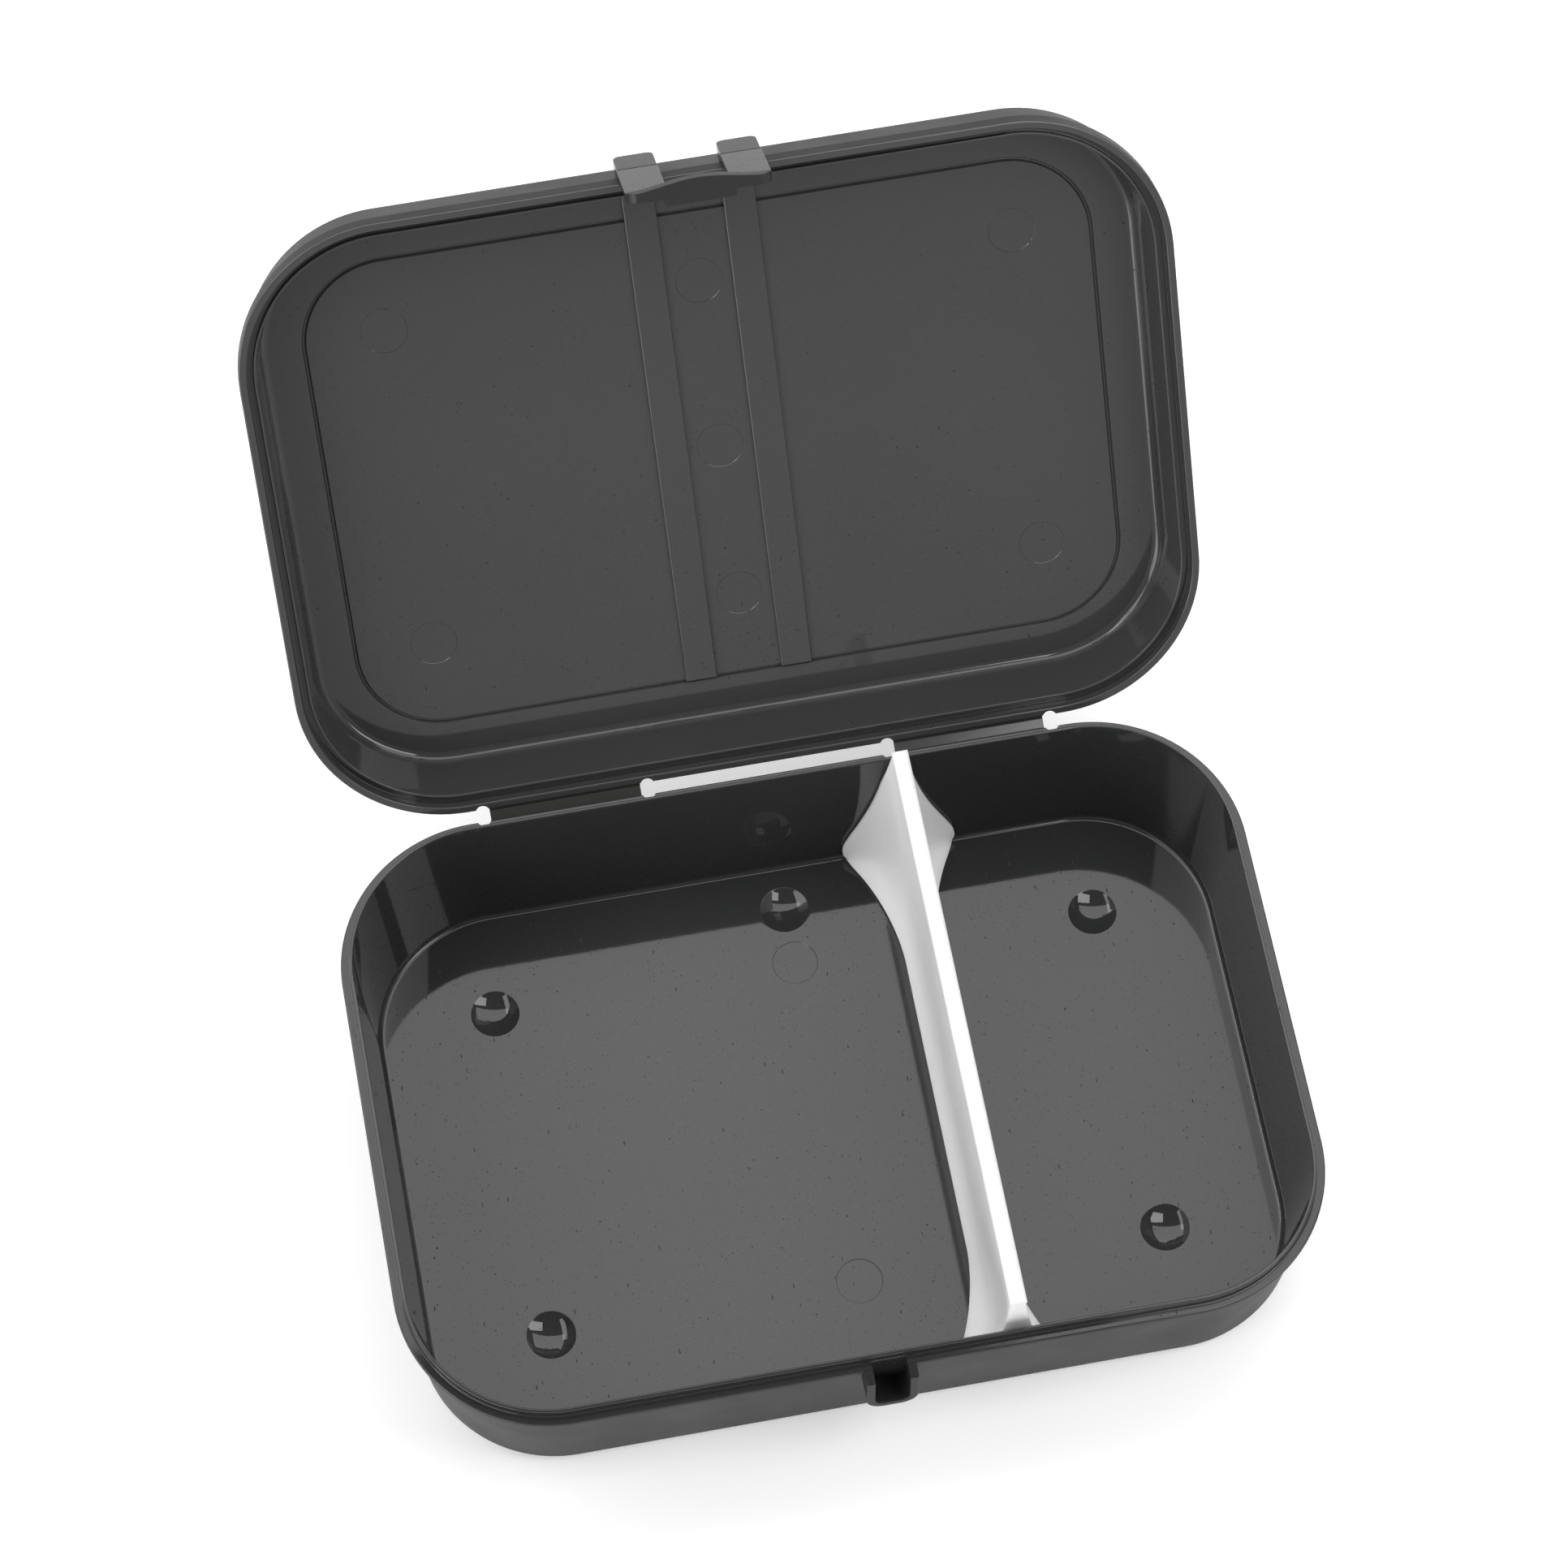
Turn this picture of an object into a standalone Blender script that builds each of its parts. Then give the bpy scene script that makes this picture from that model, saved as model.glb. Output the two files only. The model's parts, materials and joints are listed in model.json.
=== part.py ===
"""Lunch box: a tray and a shallow lid on a living hinge, a clip latch and a loose divider.

Metres, +Z up. The origin is the centre of the tray's flat underside, -Y is the latch side and
+Y the hinge side. Every moulding is modelled where it sits in the closed box, then the hinge
straps, the lid and the latch hang on pivot empties that open the lid.
"""
import math

import bmesh
import bpy
from mathutils import Vector

MM = 0.001
SHARP_ANGLE = math.radians(35)

# Overall outline, shared by the tray's flange and the lid's rim (half length, half width, corner)
RIM_OUTLINE = (114.0 * MM, 80.0 * MM, 38.0 * MM)
CORNER_STEPS = 12
FIT_GAP = 0.3 * MM

# Tray: heights from its underside
FLOOR_THICKNESS = 2.0 * MM
TRAY_DEPTH = 43.0 * MM
RIM_Z = FLOOR_THICKNESS + TRAY_DEPTH
LEDGE_Z = RIM_Z - 3.0 * MM
FLANGE_THICKNESS = 1.6 * MM
NECK_OUTER = (111.7 * MM, 77.8 * MM, 35.5 * MM)
NECK_INNER = (110.8 * MM, 76.9 * MM, 34.6 * MM)
INNER_BASE = (107.3 * MM, 72.4 * MM, 32.6 * MM)
UNDER_FLANGE = (112.5 * MM, 78.5 * MM, 36.5 * MM)
OUTER_BASE = (109.5 * MM, 74.2 * MM, 33.7 * MM)
FLOOR_FILLET = 1.8 * MM
BASE_FILLET = 3.6 * MM

# Domed feet, hollow from above: four near the corners and one at the back
FOOT_X = 77.5 * MM
FOOT_Y_FRONT = -42.6 * MM
FOOT_Y_BACK = 45.2 * MM
BACK_FOOT_Y = 60.3 * MM
DIMPLE_RADIUS = 6.2 * MM
DIMPLE_DEPTH = 1.85 * MM
FOOT_WALL = 1.4 * MM
DOME_STEPS = 6
DOME_SIDES = 20

# Catch frame on the tray's front wall
CATCH_HALF_WIDTH = 6.3 * MM
CATCH_SLOT_HALF = 4.2 * MM
CATCH_FRONT_Y = -84.0 * MM
CATCH_TOP_Z = RIM_Z - 1.0 * MM
CATCH_BOTTOM_Z = RIM_Z - 18.7 * MM
CATCH_BAR = 2.4 * MM
CATCH_CORNER = 4.5 * MM
CATCH_TOP_DROP = 0.8 * MM
CATCH_CORNER_STEPS = 5
SKIRT_ROOM_OUTSIDE = 0.5 * MM
SKIRT_ROOM_INSIDE = 0.4 * MM
SLOT_REACH = 8.0 * MM
SLOT_DEPTH = 0.2 * MM
CUT_MARGIN = 1.0 * MM

# Lid: heights from its rim plane, insets from the rim outline
LID_RIM_Z = LEDGE_Z + FIT_GAP
LID_INNER_HEIGHT = 18.8 * MM
LID_HEIGHT = 20.3 * MM
SKIRT_HEIGHT = 4.5 * MM
SKIRT_STEP = 1.5 * MM
LID_TOP_INSET = 3.4 * MM
CHANNEL_OUTER = 1.9 * MM
CHANNEL_INNER = 3.7 * MM
CHANNEL_DEPTH = 3.6 * MM
RIB_INNER = 4.3 * MM
RIB_RECESS = 2.2 * MM
LID_WALL_FOOT = 6.2 * MM
LID_FLOOR_FILLET = 2.0 * MM
LID_TOP_FILLET = 3.6 * MM

# Living hinge: two straps, film lines at the tray and at the lid
STRAP_INNER_X = 32.4 * MM
STRAP_OUTER_X = 70.7 * MM
STRAP_LENGTH = 3.2 * MM
STRAP_THICKNESS = 0.8 * MM
STRAP_END_GAP = 0.3 * MM
HINGE_Y = 80.5 * MM
HINGE_Z = RIM_Z - 5.2 * MM
KEYHOLE_RADIUS = 1.75 * MM
KEYHOLE_DEPTH = 0.8 * MM
KEYHOLE_SIDES = 16
LID_OPENING = math.radians(125.8)

# Clip latch: heights from the lid's rim plane, y from the box centre
ARM_INNER_X = 7.6 * MM
ARM_OUTER_X = 17.4 * MM
SEAM_Y = -82.5 * MM
SEAM_HEIGHT = 2.9 * MM
SEAM_HALF_GAP = 0.15 * MM
ROOT_TOP_HEIGHT = 13.0 * MM
ROOT_TOP_Y = -82.0 * MM
ROOT_GAP = 0.35 * MM
FLAP_THICKNESS = 2.0 * MM
FLAP_FOOT_Y = -84.0 * MM
FLAP_FOOT_HEIGHT = -15.6 * MM
LIP_TOP_HEIGHT = -16.3 * MM
LIP_BOTTOM_HEIGHT = -18.5 * MM
LIP_OUTER_Y = -84.4 * MM
LIP_INNER_Y = -80.2 * MM
HOOK_HALF_WIDTH = 8.5 * MM
TAB_BULGE = 1.9 * MM
TAB_STEPS = 16

# Divider
DIVIDER_X = 32.0 * MM
DIVIDER_TOP_Z = RIM_Z + 10.7 * MM
WEB_HALF = 1.1 * MM
BEAD_HALF = 2.1 * MM
BEAD_HEIGHT = 3.0 * MM
FOOT_HALF_MIDDLE = 4.3 * MM
FOOT_HALF_END = 14.6 * MM
FOOT_FLARE_START = 38.0 * MM
FOOT_FLARE_POWER = 1.8
FOOT_FLAT_HEIGHT = 1.0 * MM
FOOT_HEIGHT_DECAY = 2.6 * MM
WING_HEIGHT_DECAY = 22.0 * MM
WING_HEIGHT_POWER = 1.1
WING_TIP_HEIGHT = 3.0 * MM
WING_TIP_DEPTH = 0.8 * MM
WING_DEPTH_DECAY = 4.5 * MM
BEAD_LEAST_ROUNDNESS = 0.05
DIVIDER_WALL_GAP = 0.5 * MM
DIVIDER_TOP_HALF_LENGTH = 73.8 * MM
DIVIDER_LEAN = 4.0 * MM
DIVIDER_CORNER = 2.6 * MM
DIVIDER_STATIONS = 22
DIVIDER_LEVELS = 16
LEVEL_PACKING = 1.7
STATION_PACKING = 1.8
DIVIDER_SHARP_ANGLE = math.radians(50)


# ---------------------------------------------------------------- scene and mesh helpers

def clear_scene():
    for old in list(bpy.data.objects):
        bpy.data.objects.remove(old)


def plastic(name, colour, roughness):
    """Moulded plastic material."""
    material = bpy.data.materials.new(name)
    material.use_nodes = True
    shader = material.node_tree.nodes["Principled BSDF"]
    shader.inputs["Base Color"].default_value = (*colour, 1.0)
    shader.inputs["Roughness"].default_value = roughness
    shader.inputs["Metallic"].default_value = 0.0
    return material


def new_object(name, bm, material=None):
    """Object from a bmesh, with its faces turned outwards."""
    bmesh.ops.recalc_face_normals(bm, faces=bm.faces)
    mesh = bpy.data.meshes.new(name)
    bm.to_mesh(mesh)
    bm.free()
    obj = bpy.data.objects.new(name, mesh)
    bpy.context.collection.objects.link(obj)
    if material:
        mesh.materials.append(material)
    return obj


def combine(target, tool, operation):
    """Join the tool to the target, or cut it out of the target, and remove the tool."""
    modifier = target.modifiers.new(operation, 'BOOLEAN')
    modifier.operation = operation
    modifier.solver = 'EXACT'
    modifier.object = tool
    bpy.context.view_layer.update()
    evaluated = target.evaluated_get(bpy.context.evaluated_depsgraph_get())
    result = bpy.data.meshes.new_from_object(evaluated)
    target.modifiers.clear()
    target.data = result
    bpy.data.objects.remove(tool)


def round_off(obj, angle=SHARP_ANGLE):
    """Smooth shading with sharp edges kept at corners."""
    obj.data.shade_smooth()
    obj.data.set_sharp_from_angle(angle=angle)


def outline(size, z, inset=0.0):
    """Points round a rounded rectangle at height z; an inset shrinks the corners with it."""
    half_x, half_y, radius = (value - inset for value in size)
    points = []
    for corner, (sign_x, sign_y) in enumerate(((1, 1), (-1, 1), (-1, -1), (1, -1))):
        for step in range(CORNER_STEPS + 1):
            angle = math.radians(90) * (corner + step / CORNER_STEPS)
            points.append(Vector((sign_x * (half_x - radius) + radius * math.cos(angle),
                                  sign_y * (half_y - radius) + radius * math.sin(angle), z)))
    return points


def loft(rings):
    """Bmesh through rings of equal length, capped at both ends; also returns each ring's verts."""
    bm = bmesh.new()
    loops = [[bm.verts.new(point) for point in ring] for ring in rings]
    for lower, upper in zip(loops, loops[1:]):
        for index, corner in enumerate(lower):
            following = (index + 1) % len(lower)
            bm.faces.new((corner, lower[following], upper[following], upper[index]))
    bm.faces.new(loops[0])
    bm.faces.new(loops[-1])
    return bm, loops


def fillet(bm, loop, width, steps):
    """Round the edges that run along one ring."""
    along = [bm.edges.get((corner, loop[(index + 1) % len(loop)]))
             for index, corner in enumerate(loop)]
    bmesh.ops.bevel(bm, geom=along, offset=width, segments=steps, profile=0.5,
                    affect='EDGES', clamp_overlap=True)


def block(name, low, high):
    """Plain box between two corners, for cutting."""
    bm = bmesh.new()
    bmesh.ops.create_cube(bm, size=1.0)
    for vert in bm.verts:
        for axis in range(3):
            vert.co[axis] = high[axis] if vert.co[axis] > 0 else low[axis]
    return new_object(name, bm)


def prism(name, section, low_x, high_x, material=None):
    """Body with a (y, z) section, running along X."""
    ends = [[Vector((x, y, z)) for y, z in section] for x in (low_x, high_x)]
    bm, _ = loft(ends)
    return new_object(name, bm, material)


# ---------------------------------------------------------------- tray

def dome(name, x, y, radius, centre_z, top_z):
    """Solid cap of a sphere, point down, flat on top at top_z."""
    rim_angle = math.acos((centre_z - top_z) / radius)
    rings = []
    for step in range(1, DOME_STEPS + 1):
        angle = rim_angle * step / DOME_STEPS
        rings.append([Vector((x + radius * math.sin(angle) * math.cos(turn),
                              y + radius * math.sin(angle) * math.sin(turn),
                              centre_z - radius * math.cos(angle)))
                      for turn in (math.tau * side / DOME_SIDES for side in range(DOME_SIDES))])
    bm, _ = loft(rings)
    return new_object(name, bm)


def foot_places():
    places = [(side * FOOT_X, y) for side in (-1, 1) for y in (FOOT_Y_FRONT, FOOT_Y_BACK)]
    return places + [(0.0, BACK_FOOT_Y)]


def add_feet(tray):
    """Domed feet under the floor, each with a round dimple in its top."""
    inner_radius = (DIMPLE_RADIUS ** 2 + DIMPLE_DEPTH ** 2) / (2 * DIMPLE_DEPTH)
    centre_z = FLOOR_THICKNESS - DIMPLE_DEPTH + inner_radius
    for x, y in foot_places():
        combine(tray, dome("foot", x, y, inner_radius + FOOT_WALL, centre_z,
                           FLOOR_THICKNESS / 2), 'UNION')
        combine(tray, dome("dimple", x, y, inner_radius, centre_z,
                           FLOOR_THICKNESS + CUT_MARGIN), 'DIFFERENCE')


def wall_middle_y(z):
    """Distance from the box centre to the middle of the front wall at height z."""
    share = z / RIM_Z
    base = (INNER_BASE[1] + OUTER_BASE[1]) / 2
    top = (NECK_INNER[1] + UNDER_FLANGE[1]) / 2
    return base + (top - base) * share


def catch_outline():
    """U-shaped front view of the catch, as (x, z) points, open at the top."""
    outer = []
    for side, start in ((-1, 180), (1, 270)):
        for step in range(CATCH_CORNER_STEPS + 1):
            angle = math.radians(start + 90 * step / CATCH_CORNER_STEPS)
            outer.append((side * (CATCH_HALF_WIDTH - CATCH_CORNER) + CATCH_CORNER * math.cos(angle),
                          CATCH_BOTTOM_Z + CATCH_CORNER + CATCH_CORNER * math.sin(angle)))
    slot_floor = CATCH_BOTTOM_Z + CATCH_BAR
    return ([(-CATCH_HALF_WIDTH, CATCH_TOP_Z)] + outer + [(CATCH_HALF_WIDTH, CATCH_TOP_Z),
            (CATCH_SLOT_HALF, CATCH_TOP_Z), (CATCH_SLOT_HALF, slot_floor),
            (-CATCH_SLOT_HALF, slot_floor), (-CATCH_SLOT_HALF, CATCH_TOP_Z)])


def add_catch(tray):
    """Catch frame on the front wall; its posts rise in front of the lid's skirt."""
    front, back = [], []
    for x, z in catch_outline():
        drop = CATCH_TOP_DROP if z == CATCH_TOP_Z else 0.0
        front.append(Vector((x, CATCH_FRONT_Y, z - drop)))
        back.append(Vector((x, -wall_middle_y(z), z)))
    bm, _ = loft([front, back])
    catch = new_object("catch", bm)
    skirt_room = block("skirt_room",
                       (-2 * CATCH_HALF_WIDTH, -RIM_OUTLINE[1] - SKIRT_ROOM_OUTSIDE, LEDGE_Z),
                       (2 * CATCH_HALF_WIDTH, -NECK_OUTER[1] + SKIRT_ROOM_INSIDE,
                        RIM_Z + CUT_MARGIN))
    combine(catch, skirt_room, 'DIFFERENCE')
    combine(tray, catch, 'UNION')
    slot = block("slot",
                 (-CATCH_SLOT_HALF, -RIM_OUTLINE[1] - SLOT_REACH, CATCH_BOTTOM_Z + CATCH_BAR),
                 (CATCH_SLOT_HALF, -NECK_OUTER[1] - SLOT_DEPTH, RIM_Z + CUT_MARGIN))
    combine(tray, slot, 'DIFFERENCE')


def cut_keyholes(target, edge_y, low_z, high_z):
    """Round notches beside the ends of each hinge strap, cut into one edge."""
    centre_y = edge_y - KEYHOLE_DEPTH + KEYHOLE_RADIUS
    inner_x = STRAP_INNER_X - KEYHOLE_RADIUS
    outer_x = STRAP_OUTER_X + KEYHOLE_RADIUS
    for x in (-outer_x, -inner_x, inner_x, outer_x):
        rings = [[Vector((x + KEYHOLE_RADIUS * math.cos(turn),
                          centre_y + KEYHOLE_RADIUS * math.sin(turn), z))
                  for turn in (math.tau * side / KEYHOLE_SIDES for side in range(KEYHOLE_SIDES))]
                 for z in (low_z, high_z)]
        bm, _ = loft(rings)
        combine(target, new_object("keyhole", bm), 'DIFFERENCE')


def make_tray(material):
    """Open shell: floor, drafted walls, thin neck and a flange that the lid closes on."""
    flange_bottom = LEDGE_Z - FLANGE_THICKNESS
    bm, loops = loft([
        outline(INNER_BASE, FLOOR_THICKNESS),
        outline(NECK_INNER, RIM_Z),
        outline(NECK_OUTER, RIM_Z),
        outline(NECK_OUTER, LEDGE_Z),
        outline(RIM_OUTLINE, LEDGE_Z),
        outline(RIM_OUTLINE, flange_bottom),
        outline(UNDER_FLANGE, flange_bottom),
        outline(OUTER_BASE, 0.0),
    ])
    fillet(bm, loops[0], FLOOR_FILLET, 2)
    fillet(bm, loops[-1], BASE_FILLET, 3)
    tray = new_object("tray", bm, material)
    add_feet(tray)
    add_catch(tray)
    cut_keyholes(tray, RIM_OUTLINE[1], flange_bottom - CUT_MARGIN, LEDGE_Z + CUT_MARGIN)
    round_off(tray)
    return tray


# ---------------------------------------------------------------- lid

def make_lid(material):
    """Shallow shell with a skirt, a channel for the tray's neck and a rib inside the channel."""
    def ring(inset, height):
        return outline(RIM_OUTLINE, LID_RIM_Z + height, inset)
    bm, loops = loft([
        ring(LID_WALL_FOOT, LID_INNER_HEIGHT),
        ring(RIB_INNER, RIB_RECESS),
        ring(CHANNEL_INNER, RIB_RECESS),
        ring(CHANNEL_INNER, CHANNEL_DEPTH),
        ring(CHANNEL_OUTER, CHANNEL_DEPTH),
        ring(CHANNEL_OUTER, 0.0),
        ring(0.0, 0.0),
        ring(0.0, SKIRT_HEIGHT),
        ring(SKIRT_STEP, SKIRT_HEIGHT),
        ring(LID_TOP_INSET, LID_HEIGHT),
    ])
    fillet(bm, loops[0], LID_FLOOR_FILLET, 2)
    fillet(bm, loops[-1], LID_TOP_FILLET, 3)
    lid = new_object("lid", bm, material)
    cut_keyholes(lid, RIM_OUTLINE[1], LID_RIM_Z - CUT_MARGIN,
                 LID_RIM_Z + SKIRT_HEIGHT + CUT_MARGIN)
    round_off(lid)
    return lid


# ---------------------------------------------------------------- hinge straps

def make_strap(name, low_x, high_x, material):
    """Thin plate that stands between the two film lines when the box is closed."""
    inner_y = RIM_OUTLINE[1] + FIT_GAP
    outer_y = inner_y + STRAP_THICKNESS
    low_z = HINGE_Z + STRAP_END_GAP
    high_z = HINGE_Z + STRAP_LENGTH - STRAP_END_GAP
    section = [(inner_y, low_z), (outer_y, low_z), (outer_y, high_z), (inner_y, high_z)]
    return prism(name, section, low_x, high_x, material)


# ---------------------------------------------------------------- clip latch

def lid_wall_y(height):
    """Distance from the box centre to the lid's outer wall above the skirt."""
    share = (height - SKIRT_HEIGHT) / (LID_HEIGHT - SKIRT_HEIGHT)
    return RIM_OUTLINE[1] - SKIRT_STEP - (LID_TOP_INSET - SKIRT_STEP) * share


def make_latch_root(name, low_x, high_x, material):
    """Fixed half of one clip arm, stepped to sit on the lid's skirt and wall."""
    seam = LID_RIM_Z + SEAM_HEIGHT + SEAM_HALF_GAP
    step = LID_RIM_Z + SKIRT_HEIGHT + ROOT_GAP
    top = LID_RIM_Z + ROOT_TOP_HEIGHT
    skirt_y = -RIM_OUTLINE[1] - ROOT_GAP
    section = [(skirt_y, seam), (skirt_y, step),
               (-lid_wall_y(SKIRT_HEIGHT) - ROOT_GAP, step),
               (-lid_wall_y(ROOT_TOP_HEIGHT) - ROOT_GAP, top),
               (ROOT_TOP_Y, top), (SEAM_Y, seam)]
    return prism(name, section, low_x, high_x, material)


def tab_bulge(x):
    """How far the finger tab stands out at x: most in the middle, nothing at the arms."""
    share = min(abs(x) / ARM_OUTER_X, 1.0)
    return TAB_BULGE * 0.5 * (1.0 + math.cos(math.pi * share))


def make_lip():
    """Bar across the foot of the flap that bulges into a finger tab, with a hook behind it."""
    inner_y = FLAP_FOOT_Y + FLAP_THICKNESS
    stations = [ARM_OUTER_X * (2 * step / TAB_STEPS - 1) for step in range(TAB_STEPS + 1)]
    plan = [(x, LIP_OUTER_Y - tab_bulge(x)) for x in stations]
    plan += [(ARM_OUTER_X, inner_y), (HOOK_HALF_WIDTH, inner_y), (HOOK_HALF_WIDTH, LIP_INNER_Y),
             (-HOOK_HALF_WIDTH, LIP_INNER_Y), (-HOOK_HALF_WIDTH, inner_y),
             (-ARM_OUTER_X, inner_y)]
    bm, _ = loft([[Vector((x, y, LID_RIM_Z + height)) for x, y in plan]
                  for height in (LIP_BOTTOM_HEIGHT, LIP_TOP_HEIGHT)])
    return new_object("lip", bm)


def make_latch_flap(material):
    """Swinging half of the clip: two arms joined by the lip, with the catch's window between."""
    top = LID_RIM_Z + SEAM_HEIGHT - SEAM_HALF_GAP
    foot = LID_RIM_Z + (LIP_TOP_HEIGHT + LIP_BOTTOM_HEIGHT) / 2
    section = [(SEAM_Y, top), (FLAP_FOOT_Y, LID_RIM_Z + FLAP_FOOT_HEIGHT), (FLAP_FOOT_Y, foot),
               (FLAP_FOOT_Y + FLAP_THICKNESS, foot),
               (FLAP_FOOT_Y + FLAP_THICKNESS, LID_RIM_Z + FLAP_FOOT_HEIGHT),
               (SEAM_Y + FLAP_THICKNESS, top)]
    flap = prism("latch_flap", section, ARM_INNER_X, ARM_OUTER_X, material)
    combine(flap, prism("left_arm", section, -ARM_OUTER_X, -ARM_INNER_X), 'UNION')
    combine(flap, make_lip(), 'UNION')
    round_off(flap)
    return flap


# ---------------------------------------------------------------- divider

def divider_end_y(z):
    """Half length of the divider at height z: it leans on the walls, then clears the lid."""
    on_wall = INNER_BASE[1] + (NECK_INNER[1] - INNER_BASE[1]) * (z - FLOOR_THICKNESS) / TRAY_DEPTH
    above_floor = max(z - FLOOR_THICKNESS - FIT_GAP, 0.0)
    corner = max(FLOOR_FILLET - above_floor, 0.0)
    corner_inset = FLOOR_FILLET - math.sqrt(FLOOR_FILLET ** 2 - corner ** 2)
    under_top = max(DIVIDER_CORNER - (DIVIDER_TOP_Z - z), 0.0)
    top_inset = DIVIDER_CORNER - math.sqrt(DIVIDER_CORNER ** 2 - under_top ** 2)
    lean_in = (z - FLOOR_THICKNESS) / (DIVIDER_TOP_Z - FLOOR_THICKNESS)
    clear_of_lid = DIVIDER_TOP_HALF_LENGTH + DIVIDER_LEAN * (1.0 - lean_in)
    return min(on_wall - DIVIDER_WALL_GAP, clear_of_lid) - corner_inset - top_inset


def divider_half_width(y, z, end_y):
    """Half width of the divider: web, flared foot and end wings, and a bead along the top."""
    height = z - FLOOR_THICKNESS - FIT_GAP
    flare = max(abs(y) - FOOT_FLARE_START, 0.0) / (INNER_BASE[1] - FOOT_FLARE_START)
    foot = FOOT_HALF_MIDDLE + (FOOT_HALF_END - FOOT_HALF_MIDDLE) * flare ** FOOT_FLARE_POWER
    foot_fade = math.exp(-max(height - FOOT_FLAT_HEIGHT, 0.0) / FOOT_HEIGHT_DECAY)
    wing_height = max(height - WING_TIP_HEIGHT, 0.0) / WING_HEIGHT_DECAY
    wing = FOOT_HALF_END * math.exp(-wing_height ** WING_HEIGHT_POWER)
    wing_fade = math.exp(-max(end_y - abs(y) - WING_TIP_DEPTH, 0.0) / WING_DEPTH_DECAY)
    flared = max((foot - WEB_HALF) * foot_fade, (wing - WEB_HALF) * wing_fade, 0.0)
    under_top = max(BEAD_HEIGHT - (DIVIDER_TOP_Z - z), 0.0) / BEAD_HEIGHT
    roundness = max(1.0 - (2 * under_top - 1) ** 2, BEAD_LEAST_ROUNDNESS)
    bead = BEAD_HALF * math.sqrt(roundness) if under_top else 0.0
    return max(WEB_HALF + flared, bead)


def spread(count, ends_power):
    """Numbers from -1 to 1, packed towards both ends."""
    steps = [2 * index / (count - 1) - 1 for index in range(count)]
    return [math.copysign(1 - (1 - abs(step)) ** ends_power, step) for step in steps]


def make_divider(material):
    """Free-standing partition, built as a stack of level outlines."""
    low = FLOOR_THICKNESS + FIT_GAP
    levels = [low + (DIVIDER_TOP_Z - low) * 0.5 * (1 + share)
              for share in spread(DIVIDER_LEVELS, LEVEL_PACKING)]
    rings = []
    for z in levels:
        end_y = divider_end_y(z)
        stations = [end_y * share for share in spread(DIVIDER_STATIONS, STATION_PACKING)]
        right = [Vector((DIVIDER_X + divider_half_width(y, z, end_y), y, z)) for y in stations]
        left = [Vector((2 * DIVIDER_X - point.x, point.y, z)) for point in reversed(right)]
        rings.append(right + left)
    bm, _ = loft(rings)
    divider = new_object("divider", bm, material)
    round_off(divider, DIVIDER_SHARP_ANGLE)
    return divider


# ---------------------------------------------------------------- assembly

def pivot(name, place, parent=None, parent_place=Vector((0, 0, 0)), opening=0.0):
    """Empty on a joint axis that runs along X; a positive opening swings its children back."""
    empty = bpy.data.objects.new(name, None)
    bpy.context.collection.objects.link(empty)
    empty.parent = parent
    empty.location = place - parent_place
    empty.rotation_euler = (-opening, 0.0, 0.0)
    return empty


def hang(obj, empty, place):
    """Put an object's origin on a pivot and parent it there."""
    for vert in obj.data.vertices:
        vert.co -= place
    obj.parent = empty


def main():
    clear_scene()
    dark = plastic("dark_plastic", (0.095, 0.098, 0.098), 0.12)
    lid_dark = plastic("lid_plastic", (0.08, 0.083, 0.082), 0.12)
    strap_dark = plastic("strap_plastic", (0.09, 0.092, 0.09), 0.25)
    clip_dark = plastic("clip_plastic", (0.10, 0.105, 0.10), 0.3)
    white = plastic("white_plastic", (0.83, 0.83, 0.83), 0.4)

    tray_line = Vector((0.0, HINGE_Y, HINGE_Z))
    lid_line = tray_line + Vector((0.0, 0.0, STRAP_LENGTH))
    seam_line = Vector((0.0, SEAM_Y, LID_RIM_Z + SEAM_HEIGHT))
    strap_pivot = pivot("strap_pivot", tray_line, opening=LID_OPENING / 2)
    lid_pivot = pivot("lid_pivot", lid_line, strap_pivot, tray_line, LID_OPENING / 2)
    latch_pivot = pivot("latch_pivot", seam_line, lid_pivot, lid_line)

    make_tray(dark)
    make_divider(white)
    hang(make_lid(lid_dark), lid_pivot, lid_line)
    for side, sign in (("left", -1), ("right", 1)):
        strap_ends = sorted((sign * STRAP_INNER_X, sign * STRAP_OUTER_X))
        arm_ends = sorted((sign * ARM_INNER_X, sign * ARM_OUTER_X))
        hang(make_strap("hinge_strap_" + side, *strap_ends, strap_dark), strap_pivot, tray_line)
        hang(make_latch_root("latch_root_" + side, *arm_ends, clip_dark), lid_pivot, lid_line)
    hang(make_latch_flap(clip_dark), latch_pivot, seam_line)


main()
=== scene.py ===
"""Looks of the lunch box: moulded shells, hinge films, clip, divider, materials and studio.

Every moulding is drawn where it sits in the closed box, as its outline swept through a profile,
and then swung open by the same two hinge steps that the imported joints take.
"""

import json
import math

import bmesh
import bpy
from mathutils import Matrix, Quaternion, Vector

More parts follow.
